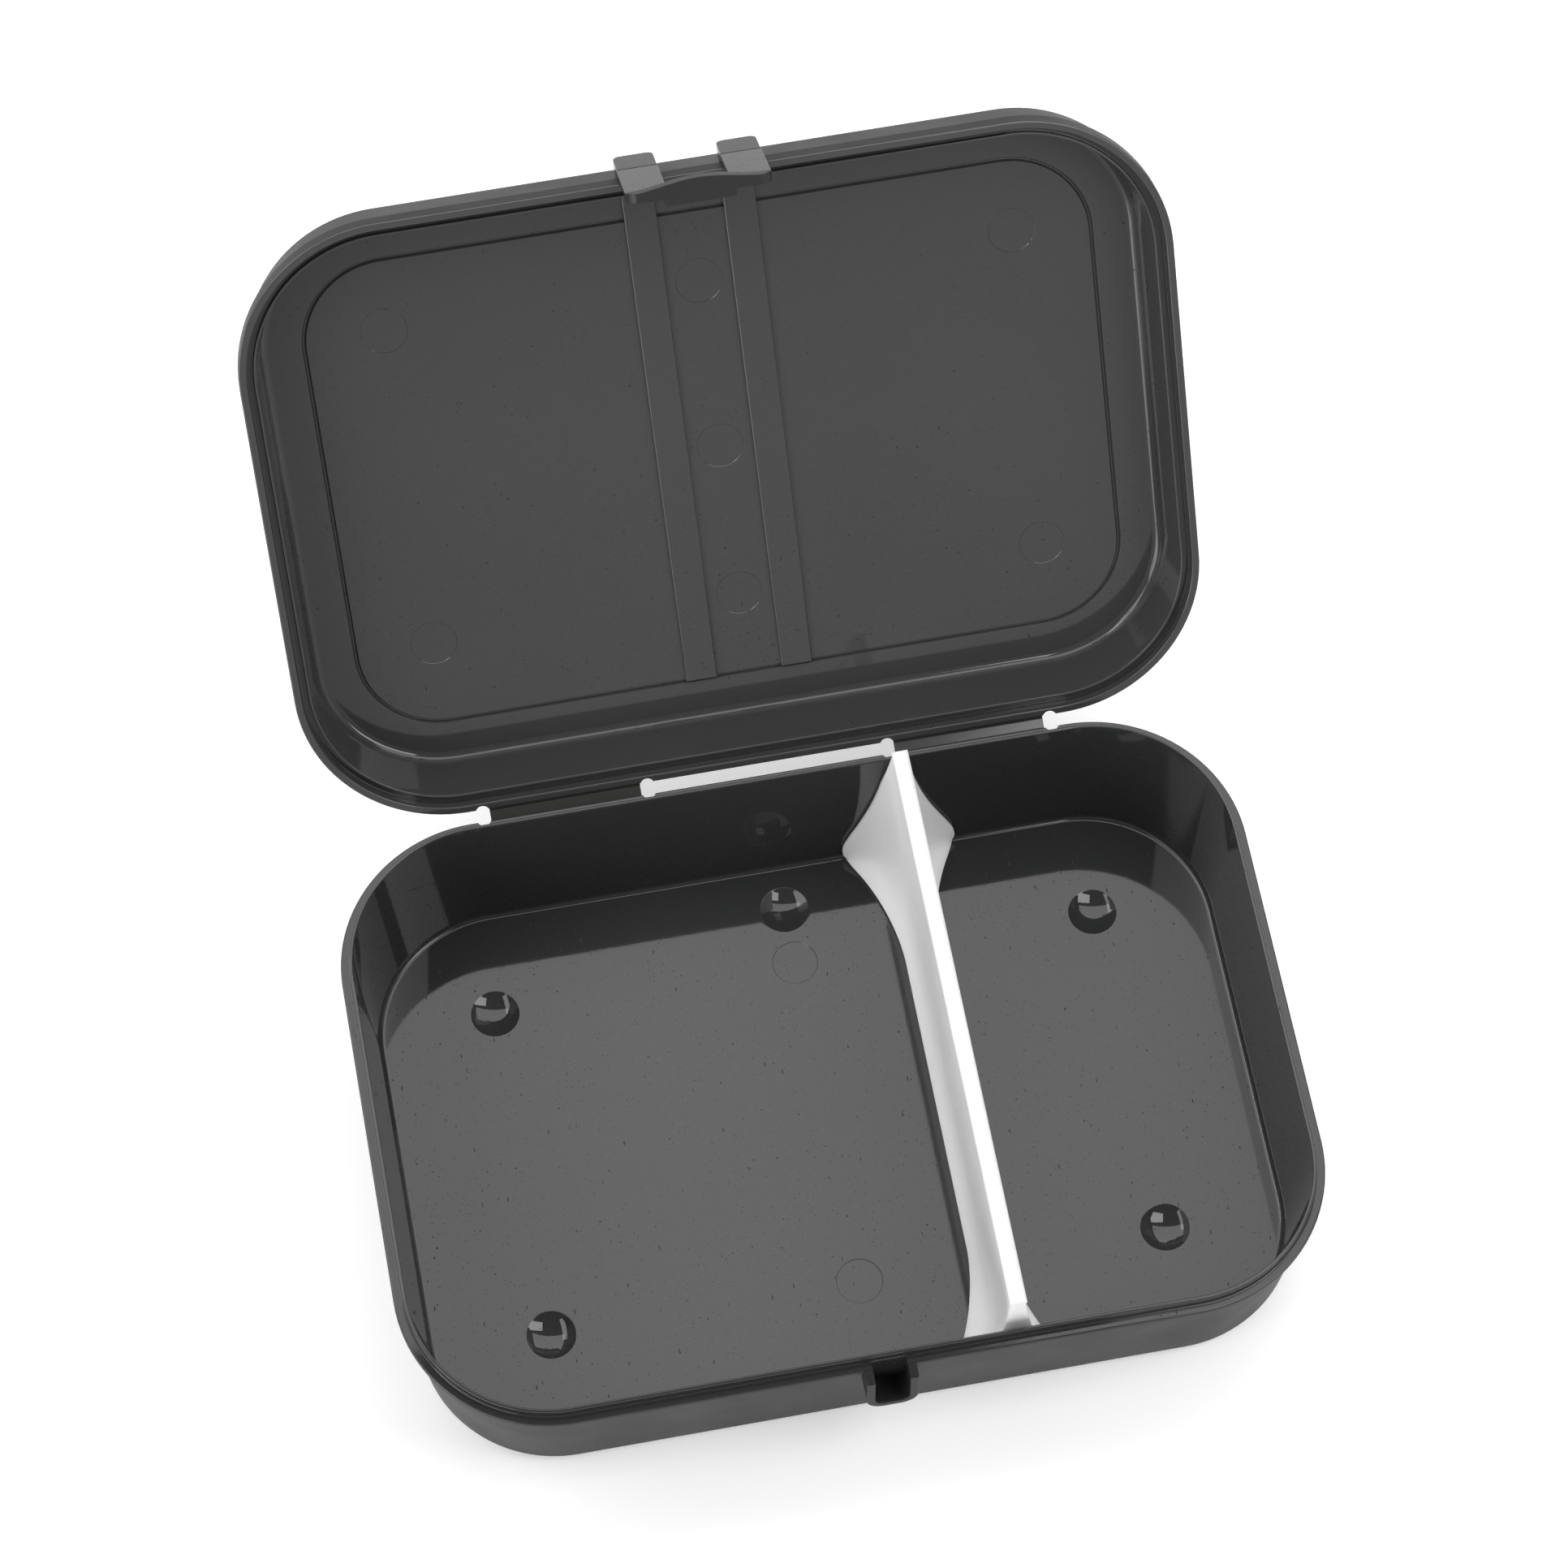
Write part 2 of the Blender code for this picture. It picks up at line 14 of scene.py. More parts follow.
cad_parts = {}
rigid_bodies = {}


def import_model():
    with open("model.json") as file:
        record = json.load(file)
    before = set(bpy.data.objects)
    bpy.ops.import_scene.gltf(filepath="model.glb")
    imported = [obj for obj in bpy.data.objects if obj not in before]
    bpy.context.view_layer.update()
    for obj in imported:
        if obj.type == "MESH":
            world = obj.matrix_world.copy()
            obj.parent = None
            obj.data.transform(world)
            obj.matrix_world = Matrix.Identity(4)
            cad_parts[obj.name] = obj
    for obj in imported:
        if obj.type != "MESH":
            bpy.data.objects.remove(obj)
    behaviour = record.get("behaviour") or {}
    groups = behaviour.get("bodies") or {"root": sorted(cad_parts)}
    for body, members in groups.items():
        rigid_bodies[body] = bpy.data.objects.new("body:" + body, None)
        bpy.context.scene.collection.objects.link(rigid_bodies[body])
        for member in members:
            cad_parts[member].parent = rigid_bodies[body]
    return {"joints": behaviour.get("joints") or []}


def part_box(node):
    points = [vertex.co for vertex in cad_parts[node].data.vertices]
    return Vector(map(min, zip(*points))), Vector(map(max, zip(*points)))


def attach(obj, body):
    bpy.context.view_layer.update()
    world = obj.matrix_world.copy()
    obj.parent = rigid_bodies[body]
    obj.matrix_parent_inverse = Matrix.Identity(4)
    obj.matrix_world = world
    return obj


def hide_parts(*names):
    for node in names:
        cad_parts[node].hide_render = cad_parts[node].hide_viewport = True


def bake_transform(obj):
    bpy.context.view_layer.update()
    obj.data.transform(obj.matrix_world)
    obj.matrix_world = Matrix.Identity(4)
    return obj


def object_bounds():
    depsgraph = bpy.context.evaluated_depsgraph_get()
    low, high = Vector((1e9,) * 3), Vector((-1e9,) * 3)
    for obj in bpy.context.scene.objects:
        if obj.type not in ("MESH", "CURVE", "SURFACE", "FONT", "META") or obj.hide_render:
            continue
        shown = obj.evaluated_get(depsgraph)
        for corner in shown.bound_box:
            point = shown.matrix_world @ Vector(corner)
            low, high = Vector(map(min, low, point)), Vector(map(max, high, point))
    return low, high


MM = 0.001

# Smoothness of the swept shapes
CORNER_STEPS = 26
ROUND_SIDES = 72
ARC_STEPS = 5
BEVEL_STEPS = 3
SHARP_ANGLE = math.radians(38)
ROUNDING_MARGIN = 1.1
WIDEST_TOLERANCE = 0.04 * MM

# Wall sections, measured from the outline that the tray's flange and the lid's rim share
OUTLINE_CORNER = 38.0 * MM
FLOOR_THICKNESS = 2.0 * MM
LEDGE_DEPTH = 3.0 * MM
FLANGE_THICKNESS = 1.6 * MM
FIT_GAP = 0.3 * MM
EDGE_RADIUS = 0.35 * MM
NECK_OUTER = (2.3 * MM, 2.2 * MM, 2.5 * MM)
NECK_INNER = (3.2 * MM, 3.1 * MM, 3.4 * MM)
INNER_BASE = (6.7 * MM, 7.6 * MM, 5.4 * MM)
UNDER_FLANGE = (1.5 * MM, 1.5 * MM, 1.5 * MM)
OUTER_BASE = (4.5 * MM, 5.8 * MM, 4.3 * MM)
FLOOR_FILLET = 1.1 * MM
BASE_FILLET = 3.6 * MM
FLAT_RING = 0.6 * MM

# Domed feet, hollow from above, and the marks that the mould's ejector pins leave
FOOT_X = 77.5 * MM
FOOT_Y_FRONT = -42.6 * MM
FOOT_Y_BACK = 45.2 * MM
BACK_FOOT_Y = 60.3 * MM
DIMPLE_RADIUS = 6.2 * MM
DIMPLE_DEPTH = 1.9 * MM
DIMPLE_STEPS = 18
DIMPLE_EDGE = 0.35 * MM
FOOT_RADIUS = 6.0 * MM
FOOT_ROOT_FILLET = 0.6 * MM
EJECTOR_RADIUS = 5.7 * MM
EJECTOR_STEP = 0.12 * MM

# Catch frame on the tray's front wall
CATCH_HALF_WIDTH = 6.3 * MM
CATCH_SLOT_HALF = 4.2 * MM
CATCH_TOP_BELOW_RIM = 1.0 * MM
CATCH_HEIGHT = 17.7 * MM
CATCH_BAR = 2.4 * MM
CATCH_CORNER = 4.5 * MM
CATCH_INNER_CORNER = 2.2 * MM
CATCH_TOP_DROP = 0.8 * MM
CATCH_EDGE = 0.4 * MM
SKIRT_ROOM = 0.5 * MM

# Lid, measured up from its rim plane and in from its outline
LID_INNER_HEIGHT = 18.8 * MM
LID_HEIGHT = 20.3 * MM
SKIRT_HEIGHT = 4.5 * MM
SKIRT_STEP = 1.5 * MM
LID_TOP_INSET = 3.4 * MM
CHANNEL_OUTER = 1.9 * MM
CHANNEL_INNER = 3.7 * MM
CHANNEL_DEPTH = 3.6 * MM
RIB_INNER = 4.3 * MM
RIB_RECESS = 2.2 * MM
RIB_EDGE = 0.2 * MM
LID_WALL_FOOT = 6.2 * MM
LID_FLOOR_FILLET = 2.0 * MM
LID_TOP_FILLET = 3.6 * MM
GROOVE_INSET = 16.8 * MM
GROOVE_WIDTH = 1.2 * MM
GROOVE_DEPTH = 0.8 * MM
GROOVE_EDGE = 0.08 * MM
LID_EJECTOR_Y_FRONT = -44.5 * MM
LID_EJECTOR_Y_BACK = 41.0 * MM
BAR_INNER_X = 8.2 * MM
BAR_OUTER_X = 16.2 * MM
BAR_FRONT_Y = -74.2 * MM
BAR_HEIGHT = 0.9 * MM
BAR_EDGE = 0.4 * MM

# Living hinge
STRAP_INNER_X = 32.4 * MM
STRAP_OUTER_X = 70.7 * MM
STRAP_THICKNESS = 0.8 * MM
STRAP_END_GAP = 0.3 * MM
STRAP_EDGE = 0.2 * MM
FILM_THICKNESS = 0.3 * MM
FILM_ROOT = 0.9 * MM
FILM_STEPS = 8
FILM_BEVEL_STEPS = 2
KEYHOLE_RADIUS = 1.75 * MM
KEYHOLE_DEPTH = 1.2 * MM

# Clip, with heights from the lid's rim plane
ARM_INNER_X = 7.6 * MM
ARM_OUTER_X = 17.4 * MM
SEAM_Y = -82.5 * MM
SEAM_HEIGHT = 2.9 * MM
SEAM_HALF_GAP = 0.15 * MM
ROOT_TOP_HEIGHT = 13.0 * MM
ROOT_TOP_Y = -82.0 * MM
ROOT_GAP = 0.35 * MM
ROOT_CORNER = 1.8 * MM
FLAP_THICKNESS = 2.0 * MM
FLAP_FOOT_Y = -84.0 * MM
FLAP_FOOT_HEIGHT = -15.6 * MM
FLAP_CORNER = 3.0 * MM
LIP_TOP_HEIGHT = -16.3 * MM
LIP_BOTTOM_HEIGHT = -18.5 * MM
LIP_OUTER_Y = -84.4 * MM
LIP_INNER_Y = -80.2 * MM
TAB_BULGE = 1.9 * MM
TAB_STEPS = 48
CLIP_EDGE = 0.6 * MM
HOOK_HALF_WIDTH = 8.5 * MM

# Divider
WEB_HALF = 1.1 * MM
BEAD_HALF = 2.1 * MM
BEAD_HEIGHT = 3.0 * MM
BEAD_LEAST_ROUNDNESS = 0.05
FOOT_HALF_MIDDLE = 4.3 * MM
FOOT_FLARE_START = 38.0 * MM
FOOT_FLARE_POWER = 1.8
FOOT_FLAT_HEIGHT = 1.0 * MM
FOOT_HEIGHT_DECAY = 2.6 * MM
WING_HEIGHT_DECAY = 22.0 * MM
WING_HEIGHT_POWER = 1.1
WING_TIP_HEIGHT = 3.4 * MM
WING_TIP_DROP = 2.4 * MM
WING_TIP_ROUNDING = 4.0 * MM
WING_TIP_DEPTH = 0.8 * MM
WING_DEPTH_DECAY = 3.2 * MM
DIVIDER_WALL_GAP = 0.5 * MM
DIVIDER_TOP_HALF_LENGTH = 74.0 * MM
DIVIDER_LEAN = 4.0 * MM
DIVIDER_CORNER = 1.2 * MM
DIVIDER_STATIONS = 120
DIVIDER_LEVELS = 84
STATION_PACKING = 2.4
LEVEL_PACKING = 1.7

# Finish of the plastics
TONE_SPREAD = 0.1
TONE_SCALE = 22.0
GLOSS_SPREAD = 0.08
GLOSS_SCALE = 60.0
RIPPLE_SCALE = 900.0
RIPPLE_HEIGHT = 0.02 * MM
PLASTIC_IOR = 1.5
SPECK_ROUGHNESS = 0.5
SMALLEST_SPECK = 0.3
ROUND_SPECK = (1.0, 1.0, 1.0)
LONG_SPECK = (1.0, 0.3, 1.0)
# Specks: spacing, size, share of cells that hold one, stretch and turn
SPECK_KINDS = (
    (1.0 * MM, 0.17 * MM, 1.0, ROUND_SPECK, (0.0, 0.0, 0.0)),
    (2.6 * MM, 0.30 * MM, 0.7, ROUND_SPECK, (0.6, 0.42, 0.6)),
    (2.0 * MM, 0.22 * MM, 0.7, LONG_SPECK, (1.1, 0.77, 1.1)),
)
DIVIDER_GLOW_THROUGH = 0.6
DIVIDER_TRANSLUCENCY = 4.0 * MM

# Camera: a long lens well above the front, a little to the left
CAMERA_AZIMUTH = math.radians(-9.84)
CAMERA_ELEVATION = math.radians(64.2)
CAMERA_ROLL = math.radians(-0.68)
CAMERA_DISTANCE = 1.2695
CAMERA_LENS = 121.3
CAMERA_AIM_OFFSET = Vector((-1.1, -0.65, -0.45)) * MM

# Studio
HORIZON_LEVEL = 0.9
ZENITH_LEVEL = 0.15
HORIZON_BOTTOM = 0.05
HORIZON_TOP = 0.5
FLOOR_SIZE = 8.0
FLOOR_TONE = (0.78, 0.78, 0.78, 1.0)
FLOOR_ROUGHNESS = 0.6
FLOOR_GLOW = 0.33
FLOOR_CLEARANCE = 0.02 * MM
WHITE = (1.0, 1.0, 1.0, 1.0)
# Softboxes: name, centre, its two sides as vectors, and radiance
SOFTBOXES = (
    ("overhead", (0.06, 0.36, 0.43), (0.76, -0.13, 0.0), (0.10, 0.59, 0.0), 2.35),
    ("right_lamp", (0.29, -0.18, 0.485), (0.30, -0.02, -0.233), (0.043, 0.233, 0.036), 5.5),
    ("left_panel", (-0.80, 0.10, 0.78), (0.0, 1.1, 0.0), (-0.4, 0.0, -0.38), 3.4),
    ("left_fill", (-1.25, -0.95, 0.40), (0.8, -1.05, 0.0), (0.0, 0.0, 0.7), 3.2),
)


# ---------------------------------------------------------------- frame

def clear_scene():
    """Remove Blender's default objects."""
    for old in list(bpy.data.objects):
        bpy.data.objects.remove(old)


def joint_named(name):
    """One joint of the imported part."""
    return next(joint for joint in frame["joints"] if joint["name"] == name)


def swing(place, angle):
    """Turn about a line along X through a place."""
    return (Matrix.Translation(place) @ Matrix.Rotation(angle, 4, 'X')
            @ Matrix.Translation(-place))


# ---------------------------------------------------------------- mesh helpers

def new_object(name, bm, material):
    """Object from a bmesh, with its faces turned outwards."""
    bmesh.ops.recalc_face_normals(bm, faces=bm.faces)
    mesh = bpy.data.meshes.new(name)
    bm.to_mesh(mesh)
    bm.free()
    obj = bpy.data.objects.new(name, mesh)
    bpy.context.collection.objects.link(obj)
    if material:
        mesh.materials.append(material)
    return obj


def apply_modifiers(obj):
    """Replace an object's mesh by the one that its modifiers make."""
    bpy.context.view_layer.update()
    evaluated = obj.evaluated_get(bpy.context.evaluated_depsgraph_get())
    result = bpy.data.meshes.new_from_object(evaluated)
    obj.modifiers.clear()
    obj.data = result


def combine(target, tool, operation):
    """Join the tool to the target, cut it out, or keep what both share; the tool is removed."""
    modifier = target.modifiers.new(operation, 'BOOLEAN')
    modifier.operation = operation
    modifier.solver = 'EXACT'
    modifier.object = tool
    apply_modifiers(target)
    bpy.data.objects.remove(tool)


def bevel(obj, width, steps=BEVEL_STEPS):
    """Round every edge that turns sharply."""
    modifier = obj.modifiers.new("edges", 'BEVEL')
    modifier.width = width
    modifier.segments = steps
    modifier.limit_method = 'ANGLE'
    modifier.angle_limit = SHARP_ANGLE
    apply_modifiers(obj)


def smooth(obj):
    """Smooth shading whose flat faces stay flat."""
    obj.data.shade_smooth()
    obj.data.set_sharp_from_angle(angle=SHARP_ANGLE)
    modifier = obj.modifiers.new("normals", 'WEIGHTED_NORMAL')
    modifier.keep_sharp = True
    apply_modifiers(obj)


def rounded(points, radii):
    """Profile path whose inner corners become arcs of the given radii.

    The radii hold in the section across Y, and the other coordinates follow in proportion.
    """
    path = [Vector(points[0])]
    for before, corner, after, radius in zip(points, points[1:], points[2:], radii):
        corner = Vector(corner)
        back = Vector(before) - corner
        ahead = Vector(after) - corner
        flat_back = Vector((back[1], back[3]))
        flat_ahead = Vector((ahead[1], ahead[3]))
        half_angle = flat_back.angle(flat_ahead) / 2
        tangent = radius / math.tan(half_angle)
        back *= tangent / flat_back.length
        ahead *= tangent / flat_ahead.length
        path.append(corner + back * ROUNDING_MARGIN)
        for step in range(ARC_STEPS + 1):
            share = step / ARC_STEPS
            weights = ((1 - share) ** 2, 2 * share * (1 - share) * math.sin(half_angle), share ** 2)
            path.append((weights[0] * (corner + back) + weights[1] * corner
                         + weights[2] * (corner + ahead)) / sum(weights))
        path.append(corner + ahead * ROUNDING_MARGIN)
    path.append(Vector(points[-1]))
    return path


def outline_points(half_x, half_y, radius, z):
    """Points round a rounded rectangle at height z."""
    points = []
    for corner, (sign_x, sign_y) in enumerate(((1, 1), (-1, 1), (-1, -1), (1, -1))):
        for step in range(CORNER_STEPS + 1):
            angle = math.radians(90) * (corner + step / CORNER_STEPS)
            points.append(Vector((sign_x * (half_x - radius) + radius * math.cos(angle),
                                  sign_y * (half_y - radius) + radius * math.sin(angle), z)))
    return points


def skin(bm, rings, outside_from=math.inf):
    """Faces between rings of equal length; returns each ring's verts.

    Faces from one ring onwards take the second material.
    """
    loops = [[bm.verts.new(point) for point in ring] for ring in rings]
    for row, (lower, upper) in enumerate(zip(loops, loops[1:])):
        for index, corner in enumerate(lower):
            following = (index + 1) % len(lower)
            face = bm.faces.new((corner, lower[following], upper[following], upper[index]))
            face.material_index = int(row >= outside_from)
    return loops


def sweep(bm, profile):
    """Shell through a profile of rounded rectangles; outside begins at the widest one."""
    widest = max(point[1] for point in profile)
    outside_from = next(row for row, point in enumerate(profile)
                        if point[1] > widest - WIDEST_TOLERANCE)
    return skin(bm, [outline_points(*point) for point in profile], outside_from)


def turned(bm, x, y, path, outside_from=math.inf):
    """Turned surface from its outermost ring down to its middle; returns the outermost ring."""
    rings = [[Vector((x + radius * math.cos(turn), y + radius * math.sin(turn), z))
              for turn in (math.tau * side / ROUND_SIDES for side in range(ROUND_SIDES))]
             for radius, z in path]
    loops = skin(bm, rings, outside_from)
    bm.faces.new(loops[-1]).material_index = int(len(loops) > outside_from)
    return loops[0]


def fill_between(bm, outer, holes, material_index=0):
    """Flat face inside the outer loop that leaves the holes open."""
    edges = []
    for loop in [outer] + holes:
        for index, corner in enumerate(loop):
            following = loop[(index + 1) % len(loop)]
            edges.append(bm.edges.get((corner, following)) or bm.edges.new((corner, following)))
    filled = bmesh.ops.triangle_fill(bm, use_beauty=True, use_dissolve=False, edges=edges)
    for element in filled["geom"]:
        if isinstance(element, bmesh.types.BMFace):
            element.material_index = material_index


def block(name, low, high, material=None):
    """Plain box between two corners, for cutting or as a start."""
    bm = bmesh.new()
    bmesh.ops.create_cube(bm, size=1.0)
    for vert in bm.verts:
        for axis in range(3):
            vert.co[axis] = high[axis] if vert.co[axis] > 0 else low[axis]
    return new_object(name, bm, material)


def prism(name, section, low, high, material=None, axis=0):
    """Body whose section, given in the other two axes, runs along one axis."""
    rings = []
    for place in (low, high):
        ring = []
        for first, second in section:
            point = [first, second]
            point.insert(axis, place)
            ring.append(Vector(point))
        rings.append(ring)
    bm = bmesh.new()
    loops = skin(bm, rings)
    for loop in loops:
        bm.faces.new(loop)
    return new_object(name, bm, material)


def arc(centre_x, centre_y, radius, start, end, steps=8):
    """Points along an arc, with its angles in degrees."""
    return [(centre_x + radius * math.cos(math.radians(start + (end - start) * step / steps)),
             centre_y + radius * math.sin(math.radians(start + (end - start) * step / steps)))
            for step in range(steps + 1)]


# ---------------------------------------------------------------- material helpers

def shader_of(material):
    """The material's Principled shader."""
    material.use_nodes = True
    return material.node_tree.nodes["Principled BSDF"]


def add_node(tree, kind, **inputs):
    """Node of one kind, with named inputs set."""
    node = tree.nodes.new(kind)
    for name, value in inputs.items():
        node.inputs[name.replace("_", " ")].default_value = value
    return node


def math_node(tree, operation, first, second):
    """Math node fed by sockets or numbers."""
    node = tree.nodes.new("ShaderNodeMath")
    node.operation = operation
    node.use_clamp = True
    for socket, value in zip(node.inputs, (first, second)):
        if isinstance(value, (int, float)):
            socket.default_value = value
        else:
            tree.links.new(value, socket)
    return node.outputs[0]


def remap(tree, value, low, high, to_low, to_high):
    """Map Range node between two intervals."""
    node = add_node(tree, "ShaderNodeMapRange", From_Min=low, From_Max=high,
                    To_Min=to_low, To_Max=to_high)
    tree.links.new(value, node.inputs["Value"])
    return node.outputs["Result"]


def noise(tree, coordinates, scale, detail):
    """Smooth noise between 0 and 1."""
    node = add_node(tree, "ShaderNodeTexNoise", Scale=scale, Detail=detail)
    tree.links.new(coordinates, node.inputs["Vector"])
    return node.outputs["Fac"]


def specks(tree, coordinates, spacing, size, share, stretch, turn):
    """Mask of scattered marks: one in some cells of a Voronoi pattern, each of its own size."""
    mapping = tree.nodes.new("ShaderNodeMapping")
    mapping.inputs["Rotation"].default_value = turn
    mapping.inputs["Scale"].default_value = stretch
    tree.links.new(coordinates, mapping.inputs["Vector"])
    cells = add_node(tree, "ShaderNodeTexVoronoi", Scale=1.0 / spacing)
    tree.links.new(mapping.outputs["Vector"], cells.inputs["Vector"])
    separate = tree.nodes.new("ShaderNodeSeparateColor")
    tree.links.new(cells.outputs["Color"], separate.inputs["Color"])
    chosen = math_node(tree, 'LESS_THAN', separate.outputs["Red"], share)
    largest = size / spacing
    reach = remap(tree, separate.outputs["Green"], 0.0, 1.0, SMALLEST_SPECK * largest, largest)
    inside = math_node(tree, 'LESS_THAN', cells.outputs["Distance"], reach)
    return math_node(tree, 'MULTIPLY', chosen, inside)


def mixed(tree, first, second, factor):
    """Colour mix of two colours or sockets."""
    node = tree.nodes.new("ShaderNodeMix")
    node.data_type = 'RGBA'
    for name, value in (("A", first), ("B", second)):
        if isinstance(value, tuple):
            node.inputs[name].default_value = (*value, 1.0)
        else:
            tree.links.new(value, node.inputs[name])
    tree.links.new(factor, node.inputs["Factor"])
    return node.outputs["Result"]


def moulded_plastic(name, colour, roughness, grain, speck_colour, specular=0.5):
    """Moulded plastic: its own tone, a faint ripple, uneven gloss, and fine specks and fibres."""
    material = bpy.data.materials.new(name)
    shader = shader_of(material)
    tree = material.node_tree
    coordinates = tree.nodes.new("ShaderNodeTexCoord").outputs["Object"]

    marks = 0.0
    for kind in SPECK_KINDS:
        marks = math_node(tree, 'MAXIMUM', marks, specks(tree, coordinates, *kind))

    darker = tuple(value * (1.0 - TONE_SPREAD) for value in colour)
    lighter = tuple(value * (1.0 + TONE_SPREAD) for value in colour)
    tone = mixed(tree, darker, lighter, noise(tree, coordinates, TONE_SCALE, 4.0))
    tree.links.new(mixed(tree, tone, speck_colour, marks), shader.inputs["Base Color"])

    patchy = remap(tree, noise(tree, coordinates, GLOSS_SCALE, 3.0), 0.3, 0.7,
                   roughness * (1.0 - GLOSS_SPREAD), roughness * (1.0 + GLOSS_SPREAD))
    rough = math_node(tree, 'MAXIMUM', patchy, math_node(tree, 'MULTIPLY', marks, SPECK_ROUGHNESS))
    tree.links.new(rough, shader.inputs["Roughness"])

    ripple = add_node(tree, "ShaderNodeBump", Strength=grain, Distance=RIPPLE_HEIGHT)
    tree.links.new(noise(tree, coordinates, RIPPLE_SCALE, 2.0), ripple.inputs["Height"])
    tree.links.new(ripple.outputs["Normal"], shader.inputs["Normal"])
    shader.inputs["IOR"].default_value = PLASTIC_IOR
    shader.inputs["Specular IOR Level"].default_value = specular
    return material


def make_translucent(material):
    """Let light spread a few millimetres through a white plastic."""
    shader = shader_of(material)
    shader.inputs["Subsurface Weight"].default_value = DIVIDER_GLOW_THROUGH
    shader.inputs["Subsurface Scale"].default_value = DIVIDER_TRANSLUCENCY
    shader.inputs["Subsurface Radius"].default_value = (1.0, 1.0, 1.0)


# ---------------------------------------------------------------- tray

def inner_size(offset, z):
    """Rounded rectangle inside the shared outline, as one point of a profile path."""
    return (HALF_X - offset[0], HALF_Y - offset[1], OUTLINE_CORNER - offset[2], z)


def even(inset, z):
    """Profile point with the same inset all round."""
    return inner_size((inset, inset, inset), z)


def foot_places():
    """Centres of the five feet."""
    places = [(side * FOOT_X, y) for side in (-1, 1) for y in (FOOT_Y_FRONT, FOOT_Y_BACK)]
    return places + [(0.0, BACK_FOOT_Y)]


def bowl_path(radius, depth, level, edge):
    """Half section of a shallow round hollow, part of a sphere, with an eased edge."""
    sphere = (radius ** 2 + depth ** 2) / (2 * depth)
    steepest = math.asin(radius / sphere)
    inner = radius - edge * math.tan(steepest / 2) * math.cos(steepest)
    outer = radius + edge * math.tan(steepest / 2)

    def bowl_z(reach):
        return level - depth + sphere - math.sqrt(sphere ** 2 - reach ** 2)

    path = [Vector((outer + FLAT_RING, level))]
    for step in range(ARC_STEPS + 1):
        share = step / ARC_STEPS
        path.append((1 - share) ** 2 * Vector((outer, level))
                    + 2 * share * (1 - share) * Vector((radius, level))
                    + share ** 2 * Vector((inner, bowl_z(inner))))
    for step in range(1, DIMPLE_STEPS):
        reach = inner * (1 - step / DIMPLE_STEPS)
        path.append(Vector((reach, bowl_z(reach))))
    return path


def ejector_path(level, step_z):
    """Half section of an ejector pin's mark: a disc that sits slightly below the surface."""
    return [Vector((EJECTOR_RADIUS + FLAT_RING / 2, level)),
            Vector((EJECTOR_RADIUS + EJECTOR_STEP, level)),
            Vector((EJECTOR_RADIUS, level + step_z)),
            Vector((EJECTOR_RADIUS - FLAT_RING / 2, level + step_z))]


def catch_slot():
    """Rounded foot of the slot between the catch's posts, as (x, z) points from right to left."""
    turn_x = CATCH_SLOT_HALF - CATCH_INNER_CORNER
    turn_z = CATCH_TOP_Z - CATCH_HEIGHT + CATCH_BAR + CATCH_INNER_CORNER
    return (arc(turn_x, turn_z, CATCH_INNER_CORNER, 360, 270)
            + arc(-turn_x, turn_z, CATCH_INNER_CORNER, 270, 180))


def catch_front():
    """U-shaped front view of the catch, as (x, z) points, open at the top."""
    turn_x = CATCH_HALF_WIDTH - CATCH_CORNER
    turn_z = CATCH_TOP_Z - CATCH_HEIGHT + CATCH_CORNER
    outer = (arc(-turn_x, turn_z, CATCH_CORNER, 180, 270)
             + arc(turn_x, turn_z, CATCH_CORNER, 270, 360))
    return ([(-CATCH_HALF_WIDTH, CATCH_TOP_Z)] + outer + [(CATCH_HALF_WIDTH, CATCH_TOP_Z),
            (CATCH_SLOT_HALF, CATCH_TOP_Z)] + catch_slot() + [(-CATCH_SLOT_HALF, CATCH_TOP_Z)])


def wall_middle_y(z):
    """Distance from the box centre to the middle of the tray's front wall at height z."""
    base = HALF_Y - (INNER_BASE[1] + OUTER_BASE[1]) / 2
    top = HALF_Y - (NECK_INNER[1] + UNDER_FLANGE[1]) / 2
    return base + (top - base) * z / RIM_Z


def make_catch():
    """Catch frame with sloped post tops and eased edges, cleared for the lid's skirt."""
    catch = prism("catch", catch_front(), CATCH_FRONT_Y, -HALF_Y, axis=1)
    for vert in catch.data.vertices:
        if vert.co.y > CATCH_FRONT_Y + FIT_GAP:
            vert.co.y = -wall_middle_y(vert.co.z)
        elif vert.co.z > CATCH_TOP_Z - FIT_GAP:
            vert.co.z -= CATCH_TOP_DROP
    bevel(catch, CATCH_EDGE)
    room = block("skirt_room", (-2 * CATCH_HALF_WIDTH, -HALF_Y - SKIRT_ROOM, LEDGE_Z),
                 (2 * CATCH_HALF_WIDTH, -HALF_Y + 2 * NECK_OUTER[1], RIM_Z + SKIRT_ROOM))
    combine(catch, room, 'DIFFERENCE')
    return catch


def cut_keyholes(target, low_z, high_z):
    """Round notches beside the ends of each hinge strap, cut into the back edge."""
    centre_y = HALF_Y - KEYHOLE_DEPTH + KEYHOLE_RADIUS
    section = arc(0.0, 0.0, KEYHOLE_RADIUS, 0, 360, steps=40)[:-1]
    for x in (STRAP_INNER_X - KEYHOLE_RADIUS, STRAP_OUTER_X + KEYHOLE_RADIUS):
        for side in (-1, 1):
            points = [(side * x + dx, centre_y + dy) for dx, dy in section]
            combine(target, prism("keyhole", points, low_z, high_z, axis=2), 'DIFFERENCE')


